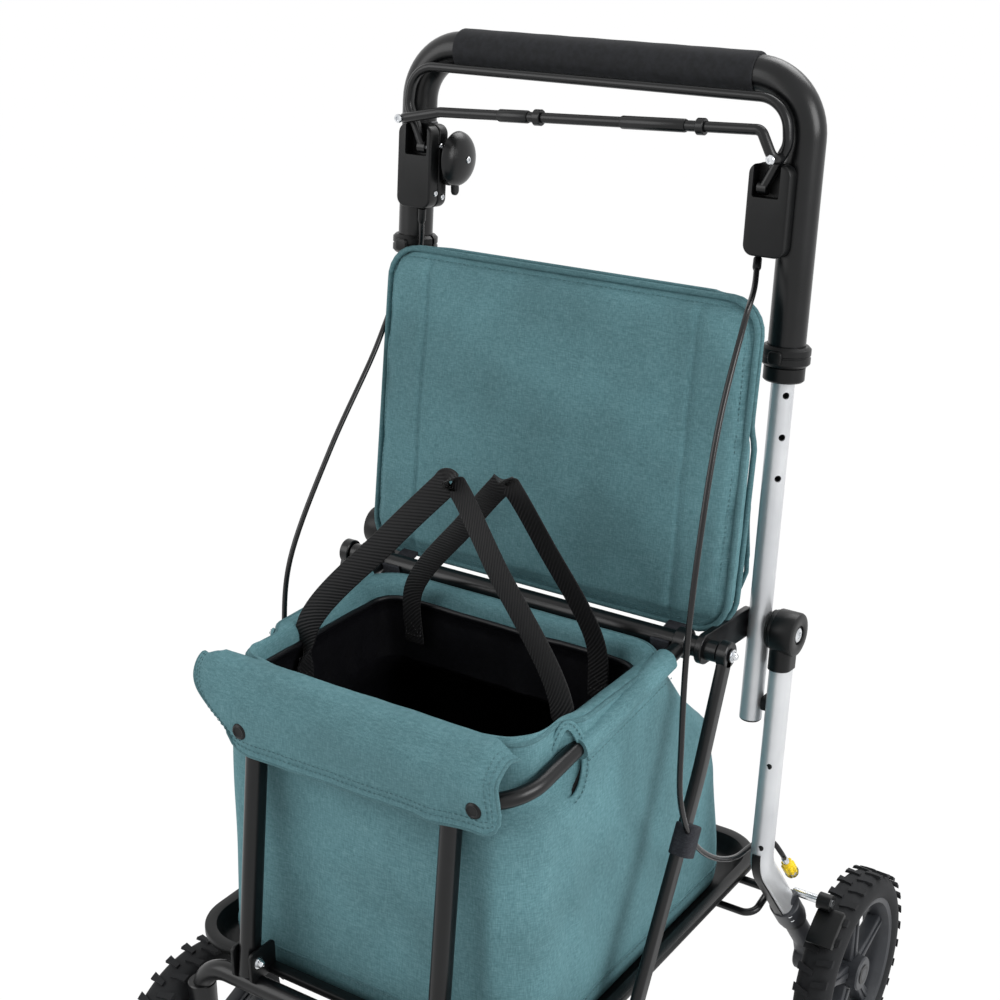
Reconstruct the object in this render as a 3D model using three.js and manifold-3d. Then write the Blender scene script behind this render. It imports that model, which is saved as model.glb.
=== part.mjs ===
// A shopping rollator: a folding four-wheeled walker with a bag, a tray and a seat lid.
// Millimetres, +Z up, the walker faces -Y and stands on z = 0.
import * as THREE from 'three';
import { mergeVertices } from 'three/addons/utils/BufferGeometryUtils.js';
import Module from 'manifold-3d';

const point = (x, y, z) => new THREE.Vector3(x, y, z);
const wasm = await Module();
wasm.setup();

// Shared fits: a resting gap between pieces, a running gap, and how far a cutter overruns.
const fit = { gap: 0.3, overrun: 2 };
const grain = { bend: 3, corner: 3, turn: 16, small: 10, ball: 8, tube: 12, bar: 10, wheel: 32 };

// Rear frame.
const mast = { x: 193, pivotY: 120.4, pivotZ: 494, lean: THREE.MathUtils.degToRad(5.3) };
const leg = { x: 217.5, wide: 18, deep: 24.5, top: 485, kneeZ: 270, endY: 157, endZ: 196, bend: 34 };
const axleTube = {
  radius: 11, sleeve: 14.5, sleeveLong: 30, ring: 13.4, ringLong: 7, boss: 16, bend: 30, pin: 6,
  kneeY: 212, kneeZ: 124,
};
const barrel = {
  radius: 19.5, inner: 207.5, outer: 231.5, groove: 1.6, step: 3.4, neckWide: 20.4, neckDeep: 29,
  neckLong: 33, screw: 8,
};
const pivotPin = { radius: 4, end: 176 };
const flange = { radius: 17, thick: 3.8, lip: 13.6, lipThick: 1.6 };
const bracket = { x: 176, thick: 6.7, radius: 13.5, waist: 17 };
const crossbar = { y: 42, z: 500, radius: 9, half: 194.4, bolt: 6 };
const bumper = { z: 425, tall: 13, deep: 15, thick: 4.6 };
const adjuster = {
  x: 217.5, y: 168, z: 226, radius: 6.5, long: 19, stem: 3, stemLong: 9, flutes: 8, flute: 1.4,
  lugStart: 22,
};
const rod = { radius: 4, y: 135, z: 221, inner: 181.5 };
const stay = { radius: 3.5, y: 116, z: 200, endY: 146, endZ: 207, bend: 12 };
const pocket = { half: 170, low: 513, high: 672, thickLow: 56, foot: 18 };

// Wheels.
const wheel = {
  radius: 100, width: 36, rim: 76, rimWide: 30, hub: 17, hubWide: 34, bore: 6.4, spokes: 5, spokeWide: 15,
  spokeThick: 15, lip: 5,
};
const rear = { x: 261, y: 220 };
const front = { x: 190, y: -211 };
const shoe = {
  wide: 26, gap: 2, thick: 8, fromAngle: 117, toAngle: 138, pivotY: 168, pivotZ: 204, pivot: 4, hub: 8,
  lug: 9, steps: 6,
};

// Handle.
const upper = {
  radius: 10, wall: 1.6, low: 407, high: 768, hole: 3, holes: [702.5, 666.4, 630.4], plug: 8,
};
const slider = {
  radius: 16, bore: 10.4, low: 716, barZ: 958.8, bend: 48, grip: 18.5, gripHalf: 147, gripEdge: 1.2,
  bush: 17.6, bushLow: 713, bushHigh: 726,
};
const ring = {
  radius: 21, tall: 17, right: 735, left: 780, chamfer: 3, slot: 3, catchWide: 12, catchTall: 11,
  catchOut: 3,
};
const housing = { x: 176.5, offset: -16, wide: 37, deep: 28, low: 817, high: 892, edge: 4, shoulder: 9 };
const bar = {
  offset: -24, wide: 8, thick: 10, cornerX: 184, topZ: 943, endX: 170, sideX: 188, sideZ: 908,
  bends: [18, 26], pivotZ: 872, boss: 5.5, bossLong: 8, pin: 2.4, pinIn: 10, slotFront: 20, slotRear: 6.4,
  slotIn: 7.5, slotOut: 16.5, corner: 3,
};
const link = {
  radius: 4.5, offset: -42, low: 906, high: 919, left: -140, right: 172, collar: 7, collarLong: 6,
  collars: [-37, 119], endLeft: -183, endRight: 184, endLow: 897, bend: 7,
};
const bell = {
  offset: 0, z: 862, radius: 25, deep: 13, shell: 1.6, plate: 3.4, plateRadius: 13, plateReach: 12,
  post: 4, lever: 4, leverLong: 34, leverWide: 9,
};

// Seat, lid and front frame.
const lid = {
  half: 186, low: 508, high: 792, front: 56.7, slope: 0.14, thick: 21, corner: 30, crown: 6, tabX: 143,
  tabWide: 18, tabThick: 3.4, tongue: 36,
};
const brace = { x: 200, thick: 9.4, wide: 15, kneeY: 2, kneeZ: 405, bend: 320, eye: 11.5 };
const footBar = { radius: 8, y: -110, half: 195 };
const seat = { radius: 7, half: 150, rearHalf: 160, y: -212, z: 457, bend: 48, eye: 13, eyeLong: 11 };
const frontLeg = { x: 98.5, wide: 15.6, deep: 20 };
const tray = {
  half: 188, front: -228, rear: 188, rim: 235, corner: 48, flange: 10, lip: 7, rimThick: 4, wall: 2.6,
  floor: 214, draft: 9, earWide: 3, earGap: 0.6, earHigh: 258, earOut: -250, earCorner: 5,
};
const bag = {
  half: 157, foot: 163, front: -199, footFront: -206, low: 217.3, drop: 7, deck: 503, deckRear: -178,
  wall: 4, corner: 40, sleeve: 10.8, sleeveRear: 18, rear: 150, lip: 5, backTilt: 116.5, apron: 98,
};
const flap = {
  half: 141, middle: 8, thick: 4.4, start: -190, shoulder: -206, front: -228, drop: 7, kneeDrop: 25,
  hang: 66, fold: 2.4, folds: 4, steps: 16, slant: 7,
};
const liner = { half: 138.8, rear: 18, drop: 21, deep: 60, corner: 38, thick: 2.4, rim: 4.4, rimDeep: 5 };
const strap = {
  wide: 18, lean: 52.9, rearLean: 1.2, thick: 2, half: 132, rearHalf: 98, footZ: 446, rimZ: 500, midZ: 590,
  steps: 20,
};
const strapPeak = { front: point(-8, -60, 646), rear: point(31, -36, 645) };
const beam = { radius: 9, y: -240, z: 222, half: 156, bend: 34, end: 176 };
const caster = {
  cup: 12.5, cupHigh: 200, roof: 3, stem: 7, crown: 13, low: 152, arm: 24, armThick: 9, armX: 164.3,
  boss: 13,
};
const cable = { radius: 2.5, lead: 10, steps: 40 };
const cableUpper = {
  right: [
    point(170, 127, 812), point(180, 103, 799), point(193, 62, 784),
    point(200, 11, 716), point(205, -24, 629), point(207, -43, 541),
  ],
  left: [
    point(-170, 127, 812), point(-175, 128, 775), point(-191, 108, 730),
    point(-193, 78, 688), point(-200, 18, 610), point(-207, -37, 518),
  ],
};
const cableLower = [
  point(208, -48, 463), point(208, -46, 407), point(207.6, -24, 359), point(206, 20, 316),
  point(204.6, 72, 287), point(205, 112, 280), point(210, 138, 270),
];

const full = 2 * Math.PI;
const turn = Math.PI / 2;

const finish = (name, color, roughness, metalness) => (
  new THREE.MeshStandardMaterial({ name, color, roughness, metalness }));
const silver = finish('silver tube', 0xc9cacb, 0.35, 0.9);
const black = finish('black paint', 0x17181a, 0.3, 0.3);
const satin = finish('satin black', 0x202124, 0.5, 0.1);
const foam = finish('foam', 0x2a2b2d, 0.95, 0);
const rubber = finish('tyre rubber', 0x2b2c2f, 0.9, 0);
const grey = finish('grey plastic', 0x54575b, 0.6, 0);
const chrome = finish('chrome', 0xdadcdf, 0.12, 1);
const yellow = finish('yellow plastic', 0xe8b81c, 0.5, 0);
const teal = finish('teal cloth', 0x2b6f77, 0.95, 0);
const dark = finish('dark cloth', 0x232427, 0.95, 0);
const webbing = finish('black webbing', 0x1d1e20, 0.9, 0);

// A path whose stations are exactly the given points, each with the mitre direction there.
class Stations extends THREE.Curve {
  constructor(points) {
    super();
    this.points = points;
  }

  getPoint(t) {
    const last = this.points.length - 1;
    const index = Math.min(Math.floor(t * last), last - 1);
    return this.points[index].clone().lerp(this.points[index + 1], t * last - index);
  }

  getPointAt(t) {
    return this.getPoint(t);
  }

  getTangentAt(t) {
    const last = this.points.length - 1;
    const index = Math.round(t * last);
    const into = this.points[Math.max(index, 1)].clone().sub(this.points[Math.max(index - 1, 0)]);
    const out = this.points[Math.min(index + 1, last)].clone().sub(this.points[Math.min(index, last - 1)]);
    return into.normalize().add(out.normalize()).normalize();
  }
}

// Corners joined by arcs of the given radius, or of one radius for each corner.
function bent(corners, radius, steps = grain.bend) {
  const path = [corners[0]];
  for (let index = 1; index < corners.length - 1; index += 1) {
    const corner = corners[index];
    const size = Array.isArray(radius) ? radius[index - 1] : radius;
    const into = corner.clone().sub(corners[index - 1]).normalize();
    const out = corners[index + 1].clone().sub(corner).normalize();
    const half = into.angleTo(out) / 2;
    const axis = into.clone().cross(out).normalize();
    const centre = corner.clone().addScaledVector(out.clone().sub(into).normalize(), size / Math.cos(half));
    const start = corner.clone().addScaledVector(into, -size * Math.tan(half)).sub(centre);
    for (let step = 0; step <= steps; step += 1) {
      path.push(start.clone().applyAxisAngle(axis, (2 * half * step) / steps).add(centre));
    }
  }
  path.push(corners[corners.length - 1]);
  return path;
}

// A rectangle with round corners about the origin: a circle or a flat oval where the radius is half a side.
function outline(wide, high, radius, steps = grain.corner) {
  const points = [];
  [[1, 1], [-1, 1], [-1, -1], [1, -1]].forEach(([sideX, sideY], quarter) => {
    for (let step = 0; step <= steps; step += 1) {
      const angle = turn * (quarter + step / steps);
      points.push(new THREE.Vector2(
        sideX * (wide / 2 - radius) + radius * Math.cos(angle),
        sideY * (high / 2 - radius) + radius * Math.sin(angle),
      ));
    }
  });
  const clean = points.filter((spot, index) => (
    spot.distanceTo(points[(index + 1) % points.length]) > radius / points.length ** 2));
  return new THREE.Shape(clean);
}

function circle(radius, sides = grain.small) {
  const points = Array.from({ length: sides }, (_, index) => (
    new THREE.Vector2(radius * Math.cos((full * index) / sides),
      radius * Math.sin((full * index) / sides))));
  return new THREE.Shape(points);
}

function sweep(path, shape) {
  return new THREE.ExtrudeGeometry(shape, {
    steps: path.length - 1, extrudePath: new Stations(path), bevelEnabled: false,
  });
}

// A flat piece from z = 0 up, its outline kept and its edges rounded by the given edge.
function plate(shape, thick, edge = 0, edgeSteps = 2) {
  return new THREE.ExtrudeGeometry(shape, {
    depth: thick - 2 * edge, bevelEnabled: edge > 0, bevelThickness: edge, bevelSize: edge,
      bevelOffset: -edge,
    bevelSegments: edgeSteps,
  }).translate(0, 0, edge);
}

// A profile of [radius, height] pairs turned about Z.
function turned(profile, sides = grain.turn) {
  const points = profile.map(([radius, high]) => new THREE.Vector2(radius, high));
  return new THREE.LatheGeometry(points, sides).rotateX(turn);
}

const cylinder = (radius, low, high, sides) =>
  turned([[0, low], [radius, low], [radius, high], [0, high]], sides);

const block = (low, high) => new THREE.BoxGeometry(high.x - low.x, high.y - low.y, high.z - low.z)
  .translate((low.x + high.x) / 2, (low.y + high.y) / 2, (low.z + high.z) / 2);

const alongX = (geometry) => geometry.rotateY(turn);

function solidOf(geometry) {
  const bare = geometry.clone();
  bare.deleteAttribute('normal');
  bare.deleteAttribute('uv');
  const merged = mergeVertices(bare);
  return new wasm.Manifold(new wasm.Mesh({
    numProp: 3,
    vertProperties: new Float32Array(merged.attributes.position.array),
    triVerts: new Uint32Array(merged.index.array),
  }));
}

function geometryOf(solid) {
  const data = solid.getMesh();
  const geometry = new THREE.BufferGeometry();
  geometry.setAttribute('position', new THREE.BufferAttribute(new Float32Array(data.vertProperties), 3));
  geometry.setIndex(new THREE.BufferAttribute(new Uint32Array(data.triVerts), 1));
  geometry.computeVertexNormals();
  return geometry;
}

const join = (...pieces) => geometryOf(pieces.map(solidOf).reduce((all, piece) => all.add(piece)));
const cut = (base, ...cutters) =>
  geometryOf(cutters.map(solidOf).reduce((all, piece) => all.subtract(piece), solidOf(base)));

// Turns a piece about X, so that its own Z follows the mast, and sets it on the pivot.
const onMast = (group) => {
  group.position.set(0, mast.pivotY, mast.pivotZ);
  group.rotation.x = -mast.lean;
  return group;
};
// Height along the mast from the pivot, for a height above the floor.
const along = (high) => (high - mast.pivotZ) / Math.cos(mast.lean);
const mastY = (high) => mast.pivotY + (high - mast.pivotZ) * Math.tan(mast.lean);

const mesh = (name, geometry, material) => {
  const piece = new THREE.Mesh(geometry, material);
  piece.name = name;
  return piece;
};

// Makes a piece on the +X side and its mirrored copy on the other.
function mirrored(geometry) {
  const other = geometry.clone().scale(-1, 1, 1);
  const order = other.index.array;
  for (let corner = 0; corner < order.length; corner += 3) {
    [order[corner], order[corner + 1]] = [order[corner + 1], order[corner]];
  }
  return other;
}
function pair(group, name, geometry, material) {
  const whole = geometryOf(solidOf(geometry));
  group.add(mesh(`${name}_right`, whole, material));
  group.add(mesh(`${name}_left`, mirrored(whole), material));
}

const walker = new THREE.Group();
walker.position.y = -(rear.y + front.y) / 2;

// Rear frame: each silver leg leans with the mast and bends back to a grey tube that carries the wheel.
const legEnd = point(leg.x, leg.endY, leg.endZ);
const legKnee = point(leg.x, mastY(leg.kneeZ), leg.kneeZ);
const legPath = bent([point(leg.x, mastY(leg.top), leg.top), legKnee, legEnd], leg.bend);
const legSlope = legEnd.clone().sub(legKnee).normalize();
const rodStub = alongX(cylinder(rod.radius, rod.inner, leg.x, grain.small)).translate(0, rod.y, rod.z);
const bumperPad = alongX(plate(outline(bumper.deep, bumper.tall, bumper.tall / 3), 2 * bumper.thick,
  bumper.thick / 4, 1))
  .translate(leg.x - leg.wide / 2 - bumper.thick, mastY(bumper.z), bumper.z);
pair(walker, 'lower_leg', join(sweep(legPath, outline(leg.wide, leg.deep, leg.wide / 2)), rodStub,
  bumperPad), silver);

const tubeStart = legEnd.clone().addScaledVector(legSlope, fit.gap);
const tubeKnee = point(leg.x, axleTube.kneeY, axleTube.kneeZ);
const wheelFace = rear.x - wheel.hubWide / 2;
const axle = point(leg.x, rear.y, wheel.radius);
const sleeveEnd = tubeStart.clone().addScaledVector(legSlope, axleTube.sleeveLong);
const ringEnd = sleeveEnd.clone().addScaledVector(legSlope, axleTube.ringLong);
const adjusterFoot = point(adjuster.x, adjuster.y, adjuster.z)
  .addScaledVector(legSlope, adjuster.stemLong + fit.gap);
const adjusterHeel = adjusterFoot.clone().addScaledVector(legSlope, adjuster.radius);
const shoePivot = point(leg.x + leg.wide / 2 + shoe.lug / 2, shoe.pivotY, shoe.pivotZ);
const axleTubes = join(
  sweep(bent([tubeStart, tubeKnee, axle], axleTube.bend), circle(axleTube.radius, grain.turn / 2)),
  sweep([tubeStart, sleeveEnd], circle(axleTube.sleeve, grain.turn / 2)),
  sweep([sleeveEnd, ringEnd], circle(axleTube.ring, grain.turn / 2)),
  alongX(turned([
    [0, leg.x - axleTube.boss / 2], [axleTube.boss, leg.x - axleTube.boss / 2],
      [axleTube.boss, wheelFace - fit.gap],
    [axleTube.pin, wheelFace - fit.gap], [axleTube.pin, rear.x + wheel.width / 2],
      [0, rear.x + wheel.width / 2],
  ], grain.turn / 2)).translate(0, rear.y, wheel.radius),
  sweep([tubeStart.clone().addScaledVector(legSlope, shoe.lug).setX(leg.x + leg.wide / 2 + shoe.lug / 2),
    shoePivot],
    outline(shoe.lug, 2 * shoe.hub, shoe.lug / 2)),
  sweep([tubeStart.clone().addScaledVector(legSlope, adjuster.lugStart), adjusterHeel],
    outline(adjuster.radius, adjuster.radius, adjuster.stem)),
  sweep([adjusterHeel.clone().addScaledVector(legSlope, adjuster.stem), adjusterFoot],
    circle(adjuster.radius, grain.bar)),
  alongX(cylinder(shoe.pivot, shoePivot.x, rear.x, grain.small)).translate(0, shoe.pivotY, shoe.pivotZ),
);
pair(walker, 'axle_tube', axleTubes, grey);

const pivotX = (geometry) => alongX(geometry).translate(0, mast.pivotY, mast.pivotZ);
const legSocket = sweep([
  point(leg.x, mastY(mast.pivotZ - barrel.neckLong - fit.overrun), mast.pivotZ - barrel.neckLong
    - fit.overrun),
  point(leg.x, mastY(leg.top + fit.gap), leg.top + fit.gap),
], outline(leg.wide + 2 * fit.gap, leg.deep + 2 * fit.gap, leg.wide / 2 + fit.gap));
const pivotHousing = cut(join(
  pivotX(turned([
    [0, barrel.inner], [barrel.radius - barrel.groove, barrel.inner],
    [barrel.radius - barrel.groove, barrel.inner + barrel.step],
    [barrel.radius, barrel.inner + barrel.step], [barrel.radius, barrel.outer - barrel.groove],
    [barrel.radius - barrel.groove, barrel.outer], [barrel.screw, barrel.outer],
    [barrel.screw, barrel.outer - barrel.groove], [0, barrel.outer - barrel.groove],
  ])),
  sweep([
    point(leg.x, mastY(mast.pivotZ - barrel.neckLong), mast.pivotZ - barrel.neckLong),
    point(leg.x, mast.pivotY, mast.pivotZ),
  ], outline(barrel.neckWide, barrel.neckDeep, barrel.neckWide / 2)),
), legSocket);
const pivotPiece = join(pivotHousing,
  pivotX(cylinder(pivotPin.radius, pivotPin.end, barrel.outer - barrel.step, grain.small)));
pair(walker, 'pivot_housing', pivotPiece, satin);

const bracketReach = Math.hypot(crossbar.y - mast.pivotY, crossbar.z - mast.pivotZ);
const bracketTilt = Math.atan2(crossbar.z - mast.pivotZ, crossbar.y - mast.pivotY);
const disc = (radius, y, z, low, high, sides) =>
  alongX(cylinder(radius, low, high, sides)).translate(0, y, z);
const bracketArm = new THREE.BoxGeometry(bracket.thick, bracketReach, bracket.waist)
  .rotateX(bracketTilt)
  .translate(bracket.x + bracket.thick / 2, (crossbar.y + mast.pivotY) / 2, (crossbar.z + mast.pivotZ) / 2);
const bracketEnd = bracket.x + bracket.thick;
const crossbarBracket = cut(
  join(
    bracketArm,
    disc(bracket.radius, mast.pivotY, mast.pivotZ, bracket.x, bracketEnd),
    disc(bracket.radius, crossbar.y, crossbar.z, bracket.x, bracketEnd),
  ),
  disc(pivotPin.radius + fit.gap, mast.pivotY, mast.pivotZ, bracket.x - fit.overrun, bracketEnd
    + fit.overrun, grain.small),
  disc(crossbar.radius + fit.gap, crossbar.y, crossbar.z, bracket.x - fit.overrun, bracketEnd
    + fit.overrun),
);
pair(walker, 'crossbar_bracket', crossbarBracket, black);

// The crossbar is the fold's axis: a pin at each end carries a brace under its bolt head.
const braceOuter = brace.x + brace.thick / 2;
const crossbarEnd = [
  [crossbar.radius, crossbar.half], [pivotPin.radius, crossbar.half],
  [pivotPin.radius, braceOuter + fit.gap], [crossbar.bolt, braceOuter + fit.gap],
  [crossbar.bolt, braceOuter + pivotPin.radius / 2], [0, braceOuter + pivotPin.radius / 2],
];
const crossbarProfile = [
  ...crossbarEnd.map(([radius, far]) => [radius, -far]).reverse(), ...crossbarEnd,
];
walker.add(mesh('rear_crossbar', geometryOf(solidOf(
  alongX(turned(crossbarProfile, grain.tube)).translate(0, crossbar.y, crossbar.z))), black));

const stayX = leg.x - leg.wide / 2 - stay.radius - fit.gap;
const stayHalf = [point(stayX, stay.y, stay.z), point(stayX, stay.endY, stay.endZ)];
const mirrorPoint = (spot) => point(-spot.x, spot.y, spot.z);
walker.add(mesh('rear_stay', geometryOf(solidOf(sweep(
  bent([mirrorPoint(stayHalf[1]), mirrorPoint(stayHalf[0]), ...stayHalf], stay.bend),
    circle(stay.radius, grain.ball)))), black));

const adjusterTurn = Math.atan2(legEnd.y - legKnee.y, legKnee.z - legEnd.z);
const adjusterShape = new THREE.Shape(Array.from({ length: 4 * adjuster.flutes }, (_, index) => {
  const angle = (full * index) / (4 * adjuster.flutes);
  const radius = adjuster.radius - (index % 4 < 2 ? 0 : adjuster.flute);
  return new THREE.Vector2(radius * Math.cos(angle), radius * Math.sin(angle));
}));
const adjusterPiece = join(
  plate(adjusterShape, adjuster.long),
  cylinder(adjuster.stem, -adjuster.stemLong, adjuster.long + adjuster.stemLong, grain.small),
).rotateX(adjusterTurn);
pair(walker, 'cable_adjuster', adjusterPiece.translate(adjuster.x, adjuster.y, adjuster.z), yellow);

// A tyre section: flat tread, round shoulders, and side walls down to the rim seat.
const tyreShares = [
  [0, 0.42], [0.5, 0.5], [1, 0.28], [1, -0.28], [0.5, -0.5], [0, -0.42],
];
const tyreHigh = wheel.radius - wheel.rim;
const tyreProfile = tyreShares.map(([high, wide]) => [wheel.rim + high * tyreHigh, wide * wheel.width]);
const tyre = alongX(turned([...tyreProfile, tyreProfile[0]].reverse(), grain.wheel));

const rimHalf = wheel.rimWide / 2;
const rimRing = turned([
  [wheel.rim - fit.gap, -rimHalf], [wheel.rim - fit.gap, rimHalf], [wheel.rim - wheel.lip, rimHalf],
  [wheel.rim - 2 * wheel.lip, 0], [wheel.rim - wheel.lip, -rimHalf], [wheel.rim - fit.gap, -rimHalf],
], grain.wheel);
const spoke = (index) => new THREE.BoxGeometry(wheel.rim - 2 * wheel.lip, wheel.spokeWide, wheel.spokeThick)
  .translate(wheel.rim / 2 - wheel.lip / 2, 0, 0)
  .rotateZ((full * index) / wheel.spokes);
const hub = alongX(cut(
  join(
    rimRing,
    cylinder(wheel.hub, -wheel.hubWide / 2, wheel.hubWide / 2, grain.turn / 2),
    ...Array.from({ length: wheel.spokes }, (_, index) => spoke(index)),
  ),
  cylinder(wheel.bore, -wheel.hubWide, wheel.hubWide, grain.small),
));
['right', 'left'].forEach((side, index) => {
  const sign = index ? -1 : 1;
  const spots = [['rear', rear, sign * rear.x], ['front', front, sign * front.x]];
  spots.forEach(([name, spot, x]) => {
    const carrier = new THREE.Group();
    carrier.position.set(x, spot.y, wheel.radius);
    carrier.add(mesh(`${name}_tyre_${side}`, geometryOf(solidOf(tyre)), rubber));
    carrier.add(mesh(`${name}_hub_${side}`, hub, grey));
    walker.add(carrier);
  });
});

const shoeArc = (radius, from, to) => Array.from({ length: shoe.steps + 1 }, (_, index) => {
  const angle = THREE.MathUtils.degToRad(from + ((to - from) * index) / shoe.steps);
  return new THREE.Vector2(rear.y + radius * Math.cos(angle), wheel.radius + radius * Math.sin(angle));
});
const shoeInner = wheel.radius + shoe.gap;
const shoeShape = new THREE.Shape([
  ...shoeArc(shoeInner, shoe.fromAngle, shoe.toAngle),
  ...shoeArc(shoeInner + shoe.thick, shoe.toAngle, shoe.fromAngle),
]);
// Turns a plate drawn in (y, z) so that its thickness runs along +X.
const sidePlate = (shape, thick, edge, steps) =>
  plate(shape, thick, edge, steps).rotateX(turn).rotateZ(turn);
const shoeLow = rear.x - shoe.wide / 2;
const shoePiece = cut(
  join(
    sidePlate(shoeShape, shoe.wide).translate(shoeLow, 0, 0),
    disc(shoe.hub, shoe.pivotY, shoe.pivotZ, shoeLow, rear.x, grain.turn / 2),
  ),
  disc(shoe.pivot + fit.gap, shoe.pivotY, shoe.pivotZ, shoeLow - fit.overrun, rear.x + shoe.wide,
    grain.small),
);
pair(walker, 'brake_shoe', shoePiece, satin);

// Everything on the mast is drawn along +Z from the pivot.
const tubes = onMast(new THREE.Group());
walker.add(tubes);
const upperLow = along(upper.low);
const holeAt = (high) => alongX(cylinder(upper.hole, -upper.radius - fit.overrun, 0, grain.ball))
  .rotateZ(turn / 2)
  .translate(mast.x, 0, along(high));
const upperTube = cut(
  join(
    cut(
      cylinder(upper.radius, upperLow, along(upper.high), grain.tube),
      cylinder(upper.radius - upper.wall, upperLow + upper.plug, along(upper.high) + fit.overrun,
        grain.turn / 2),
    ).translate(mast.x, 0, 0),
  ),
  alongX(cylinder(pivotPin.radius + fit.gap, mast.x - 2 * upper.radius, mast.x + 2 * upper.radius,
    grain.small)),
  ...upper.holes.map(holeAt),
);
pair(tubes, 'upper_tube', upperTube, silver);

const flangeInner = mast.x + upper.radius + fit.gap;
pair(tubes, 'pivot_flange', alongX(turned([
  [pivotPin.radius + fit.gap, flangeInner], [flange.lip, flangeInner],
    [flange.radius, flangeInner + flange.lipThick],
  [flange.radius, flangeInner + flange.thick], [pivotPin.radius + fit.gap, flangeInner + flange.thick],
  [pivotPin.radius + fit.gap, flangeInner],
], grain.turn)), satin);

// The sliding handle: one bent tube whose legs run over the silver tubes.
const handle = onMast(new THREE.Group());
walker.add(handle);
const handleLow = along(slider.low);
const barHigh = along(slider.barZ);
const handlePath = bent([
  point(mast.x, 0, handleLow), point(mast.x, 0, barHigh), point(-mast.x, 0, barHigh),
    point(-mast.x, 0, handleLow),
], slider.bend, 2 * grain.bend);
const boreOf = (x) => cylinder(slider.bore, handleLow - fit.overrun, barHigh - slider.bend - fit.overrun,
  grain.tube)
  .translate(x, 0, 0);
handle.add(mesh('handle_tube', cut(
  sweep(handlePath, circle(slider.radius, grain.tube)), boreOf(mast.x), boreOf(-mast.x)), black));

const sleeve = (bore, radius, low, high, chamfer = 0, sides = grain.turn) => turned([
  [bore, low], [radius - chamfer, low], [radius, low + chamfer], [radius, high - chamfer],
    [radius - chamfer, high],
  [bore, high], [bore, low],
], sides);
const gripBore = slider.radius + 2 * fit.gap;
handle.add(mesh('foam_grip', geometryOf(solidOf(alongX(
  sleeve(gripBore, slider.grip, -slider.gripHalf, slider.gripHalf, slider.gripEdge)).translate(0, 0,
    barHigh))), foam));

const bushLow = along(slider.bushLow);
const bushHigh = along(slider.bushHigh);
pair(handle, 'tube_bush', turned([
  [slider.bore, bushLow], [slider.bush, bushLow], [slider.bush, bushHigh], [gripBore, bushHigh],
  [gripBore, handleLow - fit.gap], [slider.bore, handleLow - fit.gap], [slider.bore, bushLow],
]).translate(mast.x, 0, 0), satin);

const ringCatch = plate(outline(ring.catchWide, ring.catchTall, ring.chamfer), ring.catchOut
  + ring.chamfer, ring.chamfer / 2, 1)
  .rotateX(turn)
  .translate(0, -ring.radius + ring.chamfer, 0);
const ringSlot = new THREE.BoxGeometry(2 * ring.radius, ring.slot, 2 * ring.tall).translate(-ring.radius
  - slider.radius, 0, 0);
const clipRing = (high) => cut(
  join(sleeve(gripBore, ring.radius, -ring.tall / 2, ring.tall / 2, ring.chamfer), ringCatch),
  ringSlot,
  cylinder(gripBore, -ring.tall, ring.tall),
).translate(0, 0, along(high));
handle.add(mesh('clip_ring_right', clipRing(ring.right).translate(mast.x, 0, 0), satin));
handle.add(mesh('clip_ring_left', clipRing(ring.left).translate(-mast.x, 0, 0), satin));

// Brake housings clamp round the tube's front; the bar's ends turn on a pin inside a slot in each.
const housingLow = along(housing.low);
const housingHigh = along(housing.high);
const barPivot = along(bar.pivotZ);
const housingPiece = join(
  cut(
    plate(outline(housing.wide, housingHigh - housingLow, housing.shoulder), housing.deep, housing.edge)
      .rotateX(turn)
      .translate(housing.x, housing.offset + housing.deep / 2, (housingLow + housingHigh) / 2),
    cylinder(slider.radius + fit.gap, housingLow - fit.overrun, housingHigh
      + fit.overrun).translate(mast.x, 0, 0),
    block(
      point(bar.endX - bar.slotIn, bar.offset - bar.slotFront, barPivot - bar.slotIn),
      point(bar.endX + bar.slotOut, bar.offset + bar.slotRear, housingHigh + fit.overrun),
    ),
  ),
  alongX(cylinder(bar.pin, bar.endX - bar.pinIn, bar.endX + bar.slotOut + bar.pin / 2, grain.ball))
    .translate(0, bar.offset, barPivot),
);
pair(handle, 'brake_housing', housingPiece, satin);

const brake = onMast(new THREE.Group());
walker.add(brake);
const barSide = [
  point(bar.endX, bar.offset, barPivot), point(bar.sideX, bar.offset, along(bar.sideZ)),
  point(bar.cornerX, bar.offset, along(bar.topZ)),
];
const barPath = bent([...barSide, ...barSide.map(mirrorPoint).reverse()],
  [...bar.bends, ...[...bar.bends].reverse()]);
const barBoss = (x) => disc(bar.boss, bar.offset, barPivot, x - bar.bossLong / 2, x + bar.bossLong / 2,
  grain.small);
const barBore = (x) => disc(bar.pin + fit.gap, bar.offset, barPivot, x - 2 * bar.bossLong, x
  + 2 * bar.bossLong, grain.ball);
brake.add(mesh('brake_bar', cut(
  join(sweep(barPath, outline(bar.wide, bar.thick, bar.corner, 1)), barBoss(bar.endX), barBoss(-bar.endX)),
  barBore(bar.endX),
  barBore(-bar.endX),
), black));

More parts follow.
